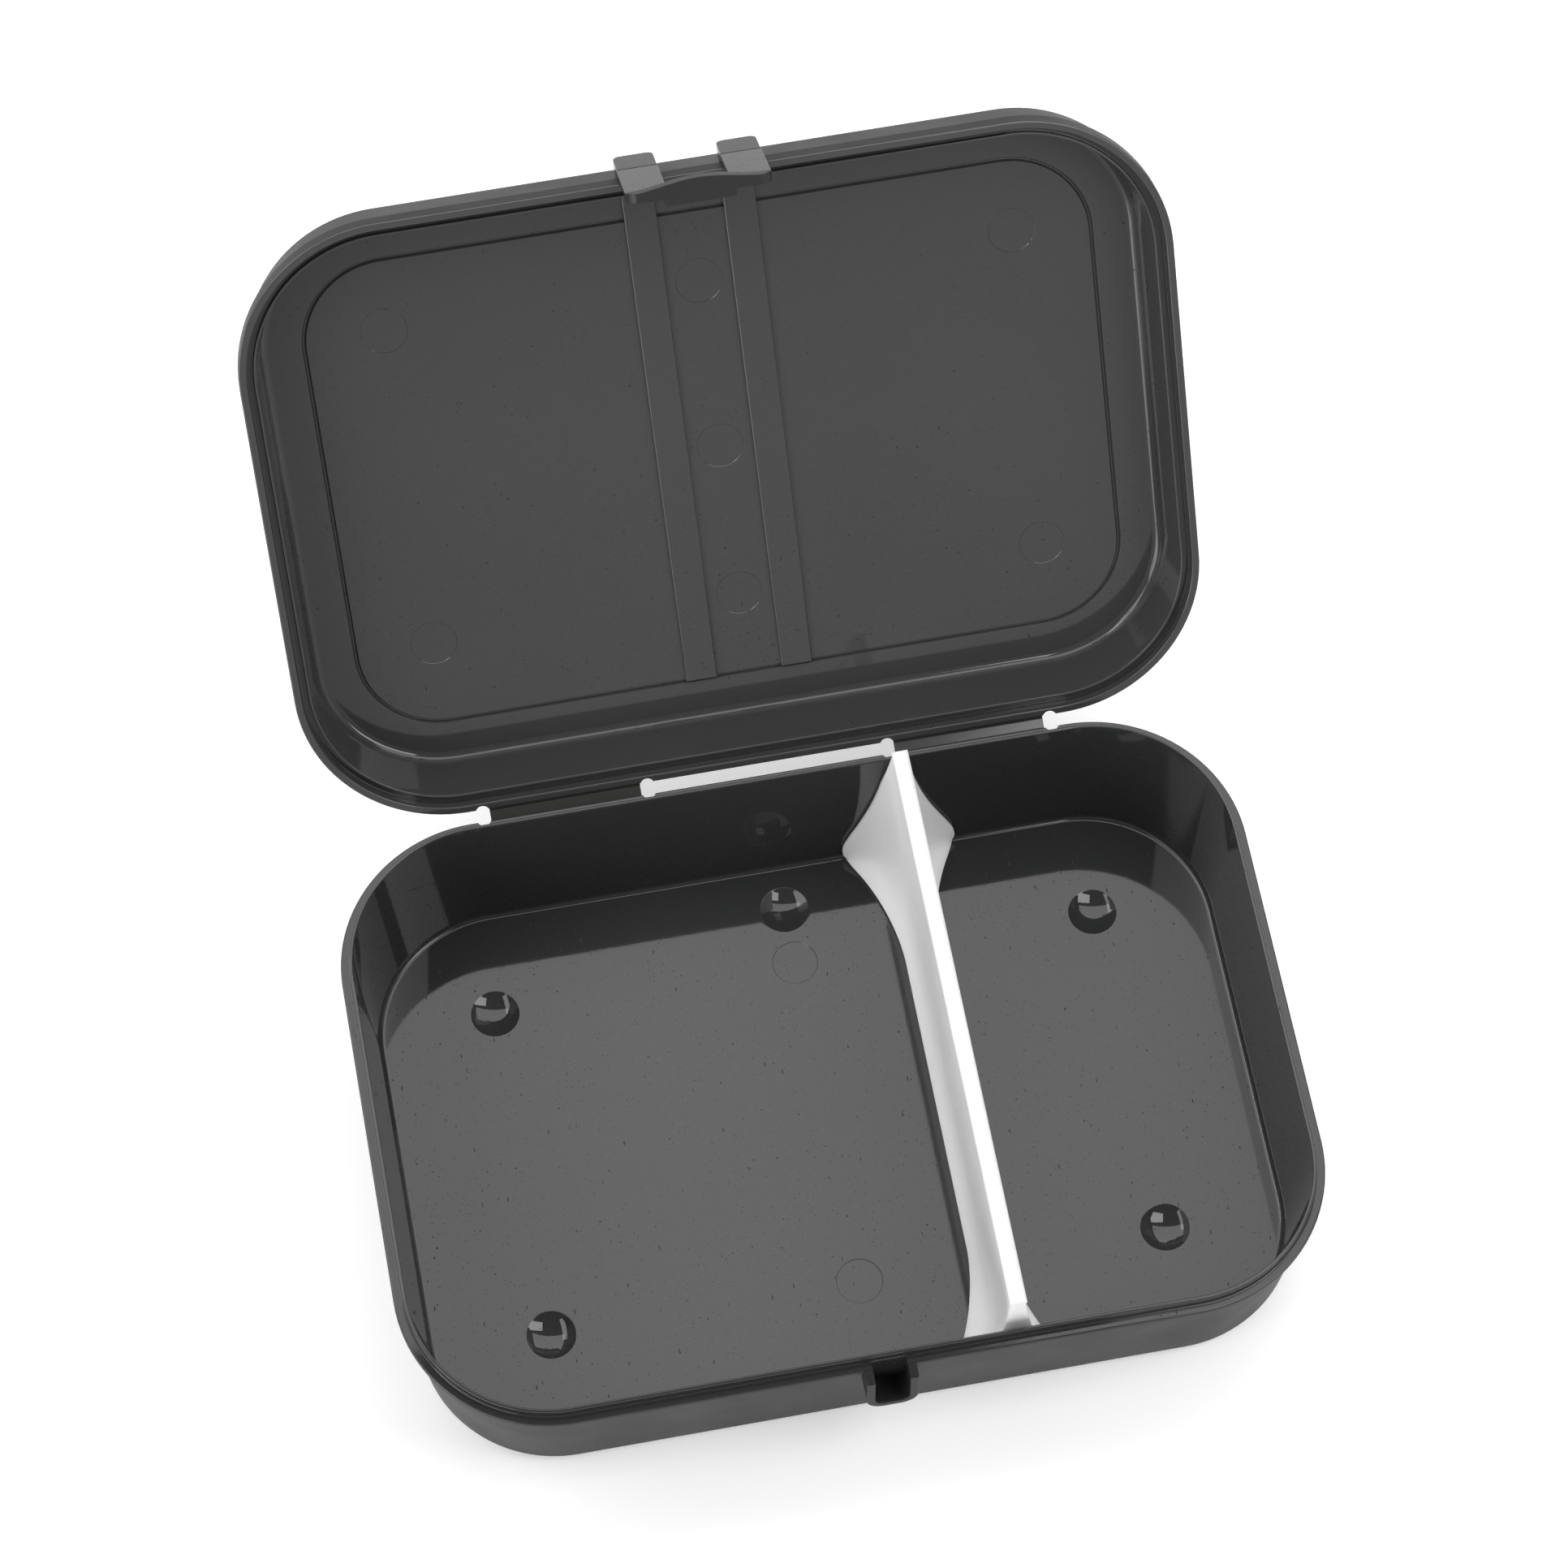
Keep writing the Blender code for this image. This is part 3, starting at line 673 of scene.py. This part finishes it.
def make_tray(material, outside_material):
    """Tray shell: mirror-smooth floor with dimples, thin neck, flange and domed feet."""
    flange_z = LEDGE_Z - FLANGE_THICKNESS
    inner_base = inner_size(INNER_BASE, FLOOR_THICKNESS)
    outer_base = inner_size(OUTER_BASE, 0.0)
    profile = rounded(
        [tuple(value - BASE_FILLET for value in inner_base[:3]) + (FLOOR_THICKNESS,),
         inner_base,
         inner_size(NECK_INNER, RIM_Z),
         inner_size(NECK_OUTER, RIM_Z),
         inner_size(NECK_OUTER, LEDGE_Z),
         even(0.0, LEDGE_Z),
         even(0.0, flange_z),
         inner_size(UNDER_FLANGE, flange_z),
         outer_base,
         tuple(value - 2 * BASE_FILLET for value in outer_base[:3]) + (0.0,)],
        [FLOOR_FILLET, EDGE_RADIUS, EDGE_RADIUS, EDGE_RADIUS, EDGE_RADIUS, EDGE_RADIUS,
         EDGE_RADIUS, BASE_FILLET])
    bm = bmesh.new()
    loops = sweep(bm, profile)

    dimple = bowl_path(DIMPLE_RADIUS, DIMPLE_DEPTH, FLOOR_THICKNESS, DIMPLE_EDGE)
    foot = bowl_path(FOOT_RADIUS, -TRAY_LOW.z, 0.0, FOOT_ROOT_FILLET)
    mark = ejector_path(FLOOR_THICKNESS, -EJECTOR_STEP)
    dimples = [turned(bm, x, y, dimple) for x, y in foot_places()]
    marks = [turned(bm, 0.0, y, mark) for y in (FOOT_Y_FRONT, FOOT_Y_BACK)]
    feet = [turned(bm, x, y, foot, outside_from=0) for x, y in foot_places()]
    fill_between(bm, loops[0], dimples + marks)
    fill_between(bm, loops[-1], feet, material_index=1)

    tray = new_object("tray_shell", bm, material)
    tray.data.materials.append(outside_material)
    catch = make_catch()
    for face in catch.data.polygons:
        face.material_index = 1
    combine(tray, catch, 'UNION')
    top = RIM_Z + SKIRT_ROOM
    slot = prism("slot", catch_slot() + [(-CATCH_SLOT_HALF, top), (CATCH_SLOT_HALF, top)],
                 CATCH_FRONT_Y - SKIRT_ROOM, -HALF_Y + NECK_OUTER[1] - FIT_GAP, axis=1)
    combine(tray, slot, 'DIFFERENCE')
    cut_keyholes(tray, flange_z - FLAT_RING, LEDGE_Z + FLAT_RING)
    smooth(tray)
    return tray


# ---------------------------------------------------------------- lid

def make_lid(material, outside_material):
    """Lid shell: grooved inner panel, rib and channel round the rim, and a skirt outside."""
    def ring(inset, height):
        return even(inset, LID_RIM_Z + height)

    half_groove = GROOVE_WIDTH / 2
    groove_floor = LID_INNER_HEIGHT + GROOVE_DEPTH
    profile = rounded(
        [ring(GROOVE_INSET + 2 * GROOVE_WIDTH, LID_INNER_HEIGHT),
         ring(GROOVE_INSET + half_groove, LID_INNER_HEIGHT),
         ring(GROOVE_INSET + half_groove / 4, groove_floor),
         ring(GROOVE_INSET - half_groove / 4, groove_floor),
         ring(GROOVE_INSET - half_groove, LID_INNER_HEIGHT),
         ring(LID_WALL_FOOT, LID_INNER_HEIGHT),
         ring(RIB_INNER, RIB_RECESS),
         ring(CHANNEL_INNER, RIB_RECESS),
         ring(CHANNEL_INNER, CHANNEL_DEPTH),
         ring(CHANNEL_OUTER, CHANNEL_DEPTH),
         ring(CHANNEL_OUTER, 0.0),
         ring(0.0, 0.0),
         ring(0.0, SKIRT_HEIGHT),
         ring(SKIRT_STEP, SKIRT_HEIGHT),
         ring(LID_TOP_INSET, LID_HEIGHT),
         ring(LID_TOP_INSET + 2 * LID_TOP_FILLET, LID_HEIGHT)],
        [GROOVE_EDGE, GROOVE_EDGE, GROOVE_EDGE, GROOVE_EDGE, LID_FLOOR_FILLET, RIB_EDGE, RIB_EDGE,
         RIB_EDGE, RIB_EDGE, EDGE_RADIUS, EDGE_RADIUS, EDGE_RADIUS, EDGE_RADIUS, LID_TOP_FILLET])
    bm = bmesh.new()
    loops = sweep(bm, profile)
    panel_z = LID_RIM_Z + LID_INNER_HEIGHT
    mark = ejector_path(panel_z, EJECTOR_STEP)
    places = [(x, y) for x in (-FOOT_X, 0.0, FOOT_X)
              for y in (LID_EJECTOR_Y_FRONT, LID_EJECTOR_Y_BACK)] + [(0.0, 0.0)]
    fill_between(bm, loops[0], [turned(bm, x, y, mark) for x, y in places])
    bm.faces.new(loops[-1]).material_index = 1

    lid = new_object("lid_shell", bm, material)
    lid.data.materials.append(outside_material)
    for side in (-1, 1):
        ends = sorted((side * BAR_INNER_X, side * BAR_OUTER_X))
        bar = block("bar", (ends[0], BAR_FRONT_Y, panel_z - BAR_HEIGHT),
                    (ends[1], HALF_Y - GROOVE_INSET, panel_z + 2 * BAR_HEIGHT))
        bevel(bar, BAR_EDGE)
        combine(lid, bar, 'UNION')
    cut_keyholes(lid, LID_RIM_Z - FLAT_RING, LID_RIM_Z + SKIRT_HEIGHT + FLAT_RING)
    smooth(lid)
    return lid


# ---------------------------------------------------------------- living hinge

def make_strap(name, low_x, high_x, material):
    """Stiff middle of one hinge strap, between its two film lines."""
    inner_y = HALF_Y + FIT_GAP
    strap = block(name, (low_x, inner_y, TRAY_LINE.z + STRAP_END_GAP),
                  (high_x, inner_y + STRAP_THICKNESS, TRAY_LINE.z + STRAP_LENGTH - STRAP_END_GAP),
                  material)
    bevel(strap, STRAP_EDGE)
    smooth(strap)
    return strap


def make_film(name, low_x, high_x, start, end, material):
    """Thin web from one (y, z) place to another, in short steps."""
    along = (end - start).normalized()
    across = Vector((-along.y, along.x)) * FILM_THICKNESS / 2
    upper, lower = [], []
    for step in range(FILM_STEPS + 1):
        place = start.lerp(end, step / FILM_STEPS)
        upper.append(place + across)
        lower.append(place - across)
    film = prism(name, upper + lower[::-1], low_x, high_x, material)
    bevel(film, FILM_THICKNESS / 4, FILM_BEVEL_STEPS)
    smooth(film)
    return film


# ---------------------------------------------------------------- clip

def lid_wall_y(height):
    """Distance from the box centre to the lid's outer wall above the skirt."""
    share = (height - SKIRT_HEIGHT) / (LID_HEIGHT - SKIRT_HEIGHT)
    return HALF_Y - SKIRT_STEP - (LID_TOP_INSET - SKIRT_STEP) * share


def make_latch_root(name, low_x, high_x, material):
    """Fixed upper half of one clip arm, stepped over the skirt, with rounded top corners."""
    seam = LID_RIM_Z + SEAM_HEIGHT + SEAM_HALF_GAP
    step = LID_RIM_Z + SKIRT_HEIGHT + ROOT_GAP
    top = LID_RIM_Z + ROOT_TOP_HEIGHT
    section = [(-HALF_Y - ROOT_GAP, seam), (-HALF_Y - ROOT_GAP, step),
               (-lid_wall_y(SKIRT_HEIGHT) - ROOT_GAP, step),
               (-lid_wall_y(ROOT_TOP_HEIGHT) - ROOT_GAP, top),
               (ROOT_TOP_Y, top), (SEAM_Y, seam)]
    root = prism(name, section, low_x, high_x, material)
    front = ([(low_x, seam - FIT_GAP), (high_x, seam - FIT_GAP)]
             + arc(high_x - ROOT_CORNER, top - ROOT_CORNER, ROOT_CORNER, 0, 90)
             + arc(low_x + ROOT_CORNER, top - ROOT_CORNER, ROOT_CORNER, 90, 180))
    combine(root, prism("front_view", front, SEAM_Y - FLAP_THICKNESS, -lid_wall_y(LID_HEIGHT),
                        axis=1), 'INTERSECT')
    bevel(root, CLIP_EDGE)
    smooth(root)
    return root


def tab_bulge(x):
    """How far the finger tab stands out at x: most in the middle, nothing at the arms."""
    share = min(abs(x) / ARM_OUTER_X, 1.0)
    return TAB_BULGE * 0.5 * (1.0 + math.cos(math.pi * share))


def make_lip():
    """Bar across the foot of the flap that hooks under the catch and bulges into a finger tab."""
    stations = [ARM_OUTER_X * (2 * step / TAB_STEPS - 1) for step in range(TAB_STEPS + 1)]
    plan = [(x, LIP_OUTER_Y - tab_bulge(x)) for x in stations]
    inner_y = FLAP_FOOT_Y + FLAP_THICKNESS
    plan += [(ARM_OUTER_X, inner_y), (HOOK_HALF_WIDTH, inner_y), (HOOK_HALF_WIDTH, LIP_INNER_Y),
             (-HOOK_HALF_WIDTH, LIP_INNER_Y), (-HOOK_HALF_WIDTH, inner_y), (-ARM_OUTER_X, inner_y)]
    return prism("lip", plan, LID_RIM_Z + LIP_BOTTOM_HEIGHT, LID_RIM_Z + LIP_TOP_HEIGHT, axis=2)


def make_latch_flap(material):
    """Swinging half of the clip: two arms joined by the lip, with a window between them."""
    top = LID_RIM_Z + SEAM_HEIGHT - SEAM_HALF_GAP
    bottom = LID_RIM_Z + LIP_BOTTOM_HEIGHT
    foot = LID_RIM_Z + (LIP_TOP_HEIGHT + LIP_BOTTOM_HEIGHT) / 2
    bend = LID_RIM_Z + FLAP_FOOT_HEIGHT
    section = [(SEAM_Y, top), (FLAP_FOOT_Y, bend), (FLAP_FOOT_Y, foot),
               (FLAP_FOOT_Y + FLAP_THICKNESS, foot), (FLAP_FOOT_Y + FLAP_THICKNESS, bend),
               (SEAM_Y + FLAP_THICKNESS, top)]
    flap = prism("clip_flap", section, ARM_INNER_X, ARM_OUTER_X, material)
    combine(flap, prism("arm", section, -ARM_OUTER_X, -ARM_INNER_X), 'UNION')
    combine(flap, make_lip(), 'UNION')
    turn_x = ARM_OUTER_X - FLAP_CORNER
    front = ([(ARM_OUTER_X, top), (-ARM_OUTER_X, top)]
             + arc(-turn_x, bottom + FLAP_CORNER, FLAP_CORNER, 180, 270)
             + arc(turn_x, bottom + FLAP_CORNER, FLAP_CORNER, 270, 360))
    combine(flap, prism("front_view", front, LIP_OUTER_Y - 2 * TAB_BULGE, LIP_INNER_Y + FIT_GAP,
                        axis=1), 'INTERSECT')
    bevel(flap, CLIP_EDGE)
    smooth(flap)
    return flap


# ---------------------------------------------------------------- divider

def divider_end_y(z):
    """Half length of the divider at height z: it leans on the walls, then clears the lid."""
    inner_base_y = HALF_Y - INNER_BASE[1]
    neck_y = HALF_Y - NECK_INNER[1]
    up_wall = (z - FLOOR_THICKNESS) / (RIM_Z - FLOOR_THICKNESS)
    on_wall = inner_base_y + (neck_y - inner_base_y) * up_wall
    above_floor = max(z - FLOOR_THICKNESS - FIT_GAP, 0.0)
    corner = max(FLOOR_FILLET - above_floor, 0.0)
    corner_inset = FLOOR_FILLET - math.sqrt(FLOOR_FILLET ** 2 - corner ** 2)
    under_top = max(DIVIDER_CORNER - (DIVIDER_TOP_Z - z), 0.0)
    top_inset = DIVIDER_CORNER - math.sqrt(DIVIDER_CORNER ** 2 - under_top ** 2)
    lean_in = (z - FLOOR_THICKNESS) / (DIVIDER_TOP_Z - FLOOR_THICKNESS)
    clear_of_lid = DIVIDER_TOP_HALF_LENGTH + DIVIDER_LEAN * (1.0 - lean_in)
    return min(on_wall - DIVIDER_WALL_GAP, clear_of_lid) - corner_inset - top_inset


def tip_drop(height):
    """How much narrower the foot and the wings are below their rounded tips."""
    below_tip = max(1.0 - height / WING_TIP_HEIGHT, 0.0)
    return WING_TIP_DROP * (1.0 - math.sqrt(1.0 - below_tip ** 2))


def foot_reach(y, height):
    """How far the foot stands out from the web, at y and at a height above its base."""
    flare = max(abs(y) - FOOT_FLARE_START, 0.0) / (HALF_Y - INNER_BASE[1] - FOOT_FLARE_START)
    foot = FOOT_HALF_MIDDLE + (FOOT_HALF_END - FOOT_HALF_MIDDLE) * flare ** FOOT_FLARE_POWER
    foot -= tip_drop(height) * flare
    fade = math.exp(-max(height - FOOT_FLAT_HEIGHT, 0.0) / FOOT_HEIGHT_DECAY)
    return (foot - WEB_HALF) * fade


def wing_reach(height):
    """How far an end wing stands out from the web at a height above its base."""
    above_tip = max(height - WING_TIP_HEIGHT, 0.0)
    eased_height = math.sqrt(above_tip ** 2 + WING_TIP_ROUNDING ** 2) - WING_TIP_ROUNDING
    fade = math.exp(-(eased_height / WING_HEIGHT_DECAY) ** WING_HEIGHT_POWER)
    return max(FOOT_HALF_END * fade - tip_drop(height) - WEB_HALF, 0.0)


def bead_half(z):
    """Half width of the bead along the top, or nothing below it."""
    under_top = max(BEAD_HEIGHT - (DIVIDER_TOP_Z - z), 0.0) / BEAD_HEIGHT
    if not under_top:
        return 0.0
    return BEAD_HALF * math.sqrt(max(1.0 - (2 * under_top - 1) ** 2, BEAD_LEAST_ROUNDNESS))


def divider_half_width(y, z, end_y):
    """Half width of the divider: web, flared foot and end wings, and a bead along the top."""
    height = z - FLOOR_THICKNESS - FIT_GAP
    wing_share = math.exp(-max(end_y - abs(y) - WING_TIP_DEPTH, 0.0) / WING_DEPTH_DECAY)
    flared = foot_reach(y, height) * (1.0 - wing_share) + wing_reach(height) * wing_share
    return max(WEB_HALF + flared, bead_half(z))


def spread(count, ends_power):
    """Numbers from -1 to 1, packed towards both ends."""
    steps = [2 * index / (count - 1) - 1 for index in range(count)]
    return [math.copysign(1 - (1 - abs(step)) ** ends_power, step) for step in steps]


def make_divider(material):
    """Free-standing partition, built as a stack of level outlines."""
    low = FLOOR_THICKNESS + FIT_GAP
    rings = []
    for share in spread(DIVIDER_LEVELS, LEVEL_PACKING):
        z = low + (DIVIDER_TOP_Z - low) * 0.5 * (1 + share)
        end_y = divider_end_y(z)
        stations = [end_y * place for place in spread(DIVIDER_STATIONS, STATION_PACKING)]
        right = [Vector((DIVIDER_X + divider_half_width(y, z, end_y), y, z)) for y in stations]
        left = [Vector((2 * DIVIDER_X - point.x, point.y, z)) for point in reversed(right)]
        rings.append(right + left)
    bm = bmesh.new()
    loops = skin(bm, rings)
    bm.faces.new(loops[0])
    bm.faces.new(loops[-1])
    divider = new_object("divider_body", bm, material)
    smooth(divider)
    return divider


# ---------------------------------------------------------------- studio

def make_world():
    """Studio surround: pale at the horizon and dim overhead."""
    world = bpy.data.worlds.new("studio")
    bpy.context.scene.world = world
    world.use_nodes = True
    tree = world.node_tree
    direction = tree.nodes.new("ShaderNodeTexCoord").outputs["Generated"]

    height = tree.nodes.new("ShaderNodeSeparateXYZ")
    tree.links.new(direction, height.inputs["Vector"])
    level = remap(tree, height.outputs["Z"], HORIZON_BOTTOM, HORIZON_TOP,
                  HORIZON_LEVEL, ZENITH_LEVEL)
    tree.links.new(level, tree.nodes["Background"].inputs["Strength"])
    tree.nodes["Background"].inputs["Color"].default_value = WHITE


def make_softbox(name, centre, along, across, radiance):
    """Evenly bright rectangle that faces the box; it isn't seen directly."""
    along, across, centre = Vector(along), Vector(across), Vector(centre)
    data = bpy.data.lights.new(name, 'AREA')
    data.shape = 'RECTANGLE'
    data.size = along.length
    data.size_y = across.length
    data.energy = radiance * math.pi * along.length * across.length
    light = bpy.data.objects.new(name, data)
    bpy.context.collection.objects.link(light)
    back = along.cross(across).normalized()
    if back.dot(centre) < 0:
        back = -back
    side = along.normalized()
    turn = Matrix((side, back.cross(side), back)).transposed()
    light.matrix_world = Matrix.Translation(centre) @ turn.to_4x4()
    light.visible_camera = False


def make_floor():
    """Wide pale floor under the box's feet."""
    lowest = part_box("tray")[0].z
    bm = bmesh.new()
    bmesh.ops.create_grid(bm, x_segments=1, y_segments=1, size=FLOOR_SIZE / 2)
    material = bpy.data.materials.new("studio_floor")
    shader = shader_of(material)
    shader.inputs["Base Color"].default_value = FLOOR_TONE
    shader.inputs["Roughness"].default_value = FLOOR_ROUGHNESS
    shader.inputs["Emission Color"].default_value = WHITE
    shader.inputs["Emission Strength"].default_value = FLOOR_GLOW
    floor = new_object("studio_floor", bm, material)
    floor.location.z = lowest - FLOOR_CLEARANCE


def make_camera():
    """Camera at the photograph's viewing angle, aimed near the middle of the box."""
    low, high = CAD_BOX
    back = Vector((math.sin(CAMERA_AZIMUTH) * math.cos(CAMERA_ELEVATION),
                   -math.cos(CAMERA_AZIMUTH) * math.cos(CAMERA_ELEVATION),
                   math.sin(CAMERA_ELEVATION)))
    data = bpy.data.cameras.new("camera")
    data.lens = CAMERA_LENS
    data.clip_start = CAMERA_DISTANCE / 100
    camera = bpy.data.objects.new("camera", data)
    bpy.context.collection.objects.link(camera)
    camera.location = (low + high) / 2 + CAMERA_AIM_OFFSET + back * CAMERA_DISTANCE
    camera.rotation_mode = 'QUATERNION'
    camera.rotation_quaternion = ((-back).to_track_quat('-Z', 'Y')
                                  @ Quaternion((0.0, 0.0, 1.0), CAMERA_ROLL))
    bpy.context.scene.camera = camera


# ---------------------------------------------------------------- assembly

def settle(obj, body, nodes, placing=None):
    """Swing a piece to where it rests, hide the parts that it stands for, and attach it to the body
    that it rides on.
    """
    if placing is not None:
        obj.data.transform(placing)
    if nodes:
        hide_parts(*nodes)
    if body:
        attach(obj, body)


def make_hinge_side(side, sign, material):
    """One hinge strap with the film on either side of it."""
    low_x, high_x = sorted((sign * STRAP_INNER_X, sign * STRAP_OUTER_X))
    strap = make_strap("strap_" + side, low_x, high_x, material)
    settle(strap, "hinge_straps", ["hinge_strap_" + side], STRAP_OPENING)

    def placed(y, z, placing):
        point = placing @ Vector((0.0, y, z))
        return Vector((point.y, point.z))

    middle_y = HALF_Y + FIT_GAP + STRAP_THICKNESS / 2
    strap_low = placed(middle_y, TRAY_LINE.z + STRAP_END_GAP + STRAP_EDGE, STRAP_OPENING)
    strap_high = placed(middle_y, TRAY_LINE.z + STRAP_LENGTH - STRAP_END_GAP - STRAP_EDGE,
                        STRAP_OPENING)
    tray_root = Vector((HALF_Y - FILM_ROOT, LEDGE_Z - FLANGE_THICKNESS / 2))
    lid_root = placed(HALF_Y - FILM_ROOT, LID_RIM_Z + FLANGE_THICKNESS / 2, LID_OPENING)
    for name, start, end, first, second in (
            ("film_tray_", tray_root, strap_low, "base", "hinge_straps"),
            ("film_lid_", strap_high, lid_root, "hinge_straps", "lid")):
        film = make_film(name + side, low_x, high_x, start, end, material)
        settle(film, None, [])
        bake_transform(film)


def make_clip(material):
    """The clip's fixed halves, its swinging half and the thin film at the seam between them."""
    for side, sign in (("left", -1), ("right", 1)):
        low_x, high_x = sorted((sign * ARM_INNER_X, sign * ARM_OUTER_X))
        root = make_latch_root("clip_root_" + side, low_x, high_x, material)
        settle(root, "lid", ["latch_root_" + side], LID_OPENING)
        inside = SEAM_Y + FLAP_THICKNESS / 2
        start, end = (LID_OPENING @ Vector((0.0, inside, LID_RIM_Z + SEAM_HEIGHT + reach))
                      for reach in (FILM_ROOT, -FILM_ROOT))
        film = make_film("clip_film_" + side, low_x + CLIP_EDGE, high_x - CLIP_EDGE,
                         start.yz, end.yz, material)
        settle(film, None, [])
        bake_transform(film)
    flap = make_latch_flap(material)
    settle(flap, "latch_flap", ["latch_flap"], LID_OPENING)


clear_scene()
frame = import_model()
CAD_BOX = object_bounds()

TRAY_LOW, TRAY_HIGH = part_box("tray")
HALF_X = TRAY_HIGH.x
HALF_Y = TRAY_HIGH.y
RIM_Z = TRAY_HIGH.z
CATCH_FRONT_Y = TRAY_LOW.y
LEDGE_Z = RIM_Z - LEDGE_DEPTH
LID_RIM_Z = LEDGE_Z + FIT_GAP
CATCH_TOP_Z = RIM_Z - CATCH_TOP_BELOW_RIM
DIVIDER_LOW, DIVIDER_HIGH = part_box("divider")
DIVIDER_X = (DIVIDER_LOW.x + DIVIDER_HIGH.x) / 2
DIVIDER_TOP_Z = DIVIDER_HIGH.z
FOOT_HALF_END = DIVIDER_HIGH.x - DIVIDER_X

TRAY_LINE = Vector(joint_named("strap_fold")["pos_m"])
LID_LINE = Vector(joint_named("lid_fold")["pos_m"])
STRAP_ANGLE = math.radians(joint_named("strap_fold")["range_deg"][0])
LID_ANGLE = math.radians(joint_named("lid_fold")["range_deg"][0])
STRAP_OPENING = swing(TRAY_LINE, STRAP_ANGLE)
STRAP_LENGTH = (LID_LINE - TRAY_LINE).length
LID_OPENING = swing(LID_LINE, LID_ANGLE) @ STRAP_OPENING

tray_plastic = moulded_plastic(
    "tray_plastic", colour=(0.028, 0.0285, 0.0285), roughness=0.05, grain=0.10,
    speck_colour=(0.010, 0.010, 0.010))
lid_plastic = moulded_plastic(
    "lid_plastic", colour=(0.036, 0.0370, 0.0363), roughness=0.07, grain=0.12,
    speck_colour=(0.009, 0.009, 0.009))
# Outer faces of the tray and lid: a satin copy of the same plastic, less glossy, and darker than
# the inside as painted shade for the dimmer light that the outside gets from the floor.
outside_satin_painted_shade = moulded_plastic(
    "outside_satin_painted_shade", colour=(0.016, 0.0164, 0.016), roughness=0.42, grain=0.30,
    speck_colour=(0.009, 0.009, 0.009), specular=0.12)
strap_plastic = moulded_plastic(
    "strap_plastic", colour=(0.026, 0.026, 0.025), roughness=0.16, grain=0.25,
    speck_colour=(0.010, 0.010, 0.010))
# Clip: a darker copy of the same plastic, with its colour lowered as painted shade for the dimmer
# light from the floor, and a satin gloss.
clip_plastic = moulded_plastic(
    "clip_plastic", colour=(0.018, 0.0186, 0.018), roughness=0.28, grain=0.30,
    speck_colour=(0.010, 0.010, 0.010), specular=0.25)
divider_plastic = moulded_plastic(
    "divider_plastic", colour=(0.80, 0.80, 0.80), roughness=0.38, grain=0.3,
    speck_colour=(0.78, 0.78, 0.77))
make_translucent(divider_plastic)

settle(make_tray(tray_plastic, outside_satin_painted_shade), "base", ["tray"])
settle(make_divider(divider_plastic), "divider", ["divider"])
settle(make_lid(lid_plastic, outside_satin_painted_shade), "lid", ["lid"], LID_OPENING)
for hinge_side, hinge_sign in (("left", -1), ("right", 1)):
    make_hinge_side(hinge_side, hinge_sign, strap_plastic)
make_clip(clip_plastic)

make_world()
for softbox in SOFTBOXES:
    make_softbox(*softbox)
make_floor()
make_camera()
bpy.context.scene.view_settings.view_transform = 'Standard'
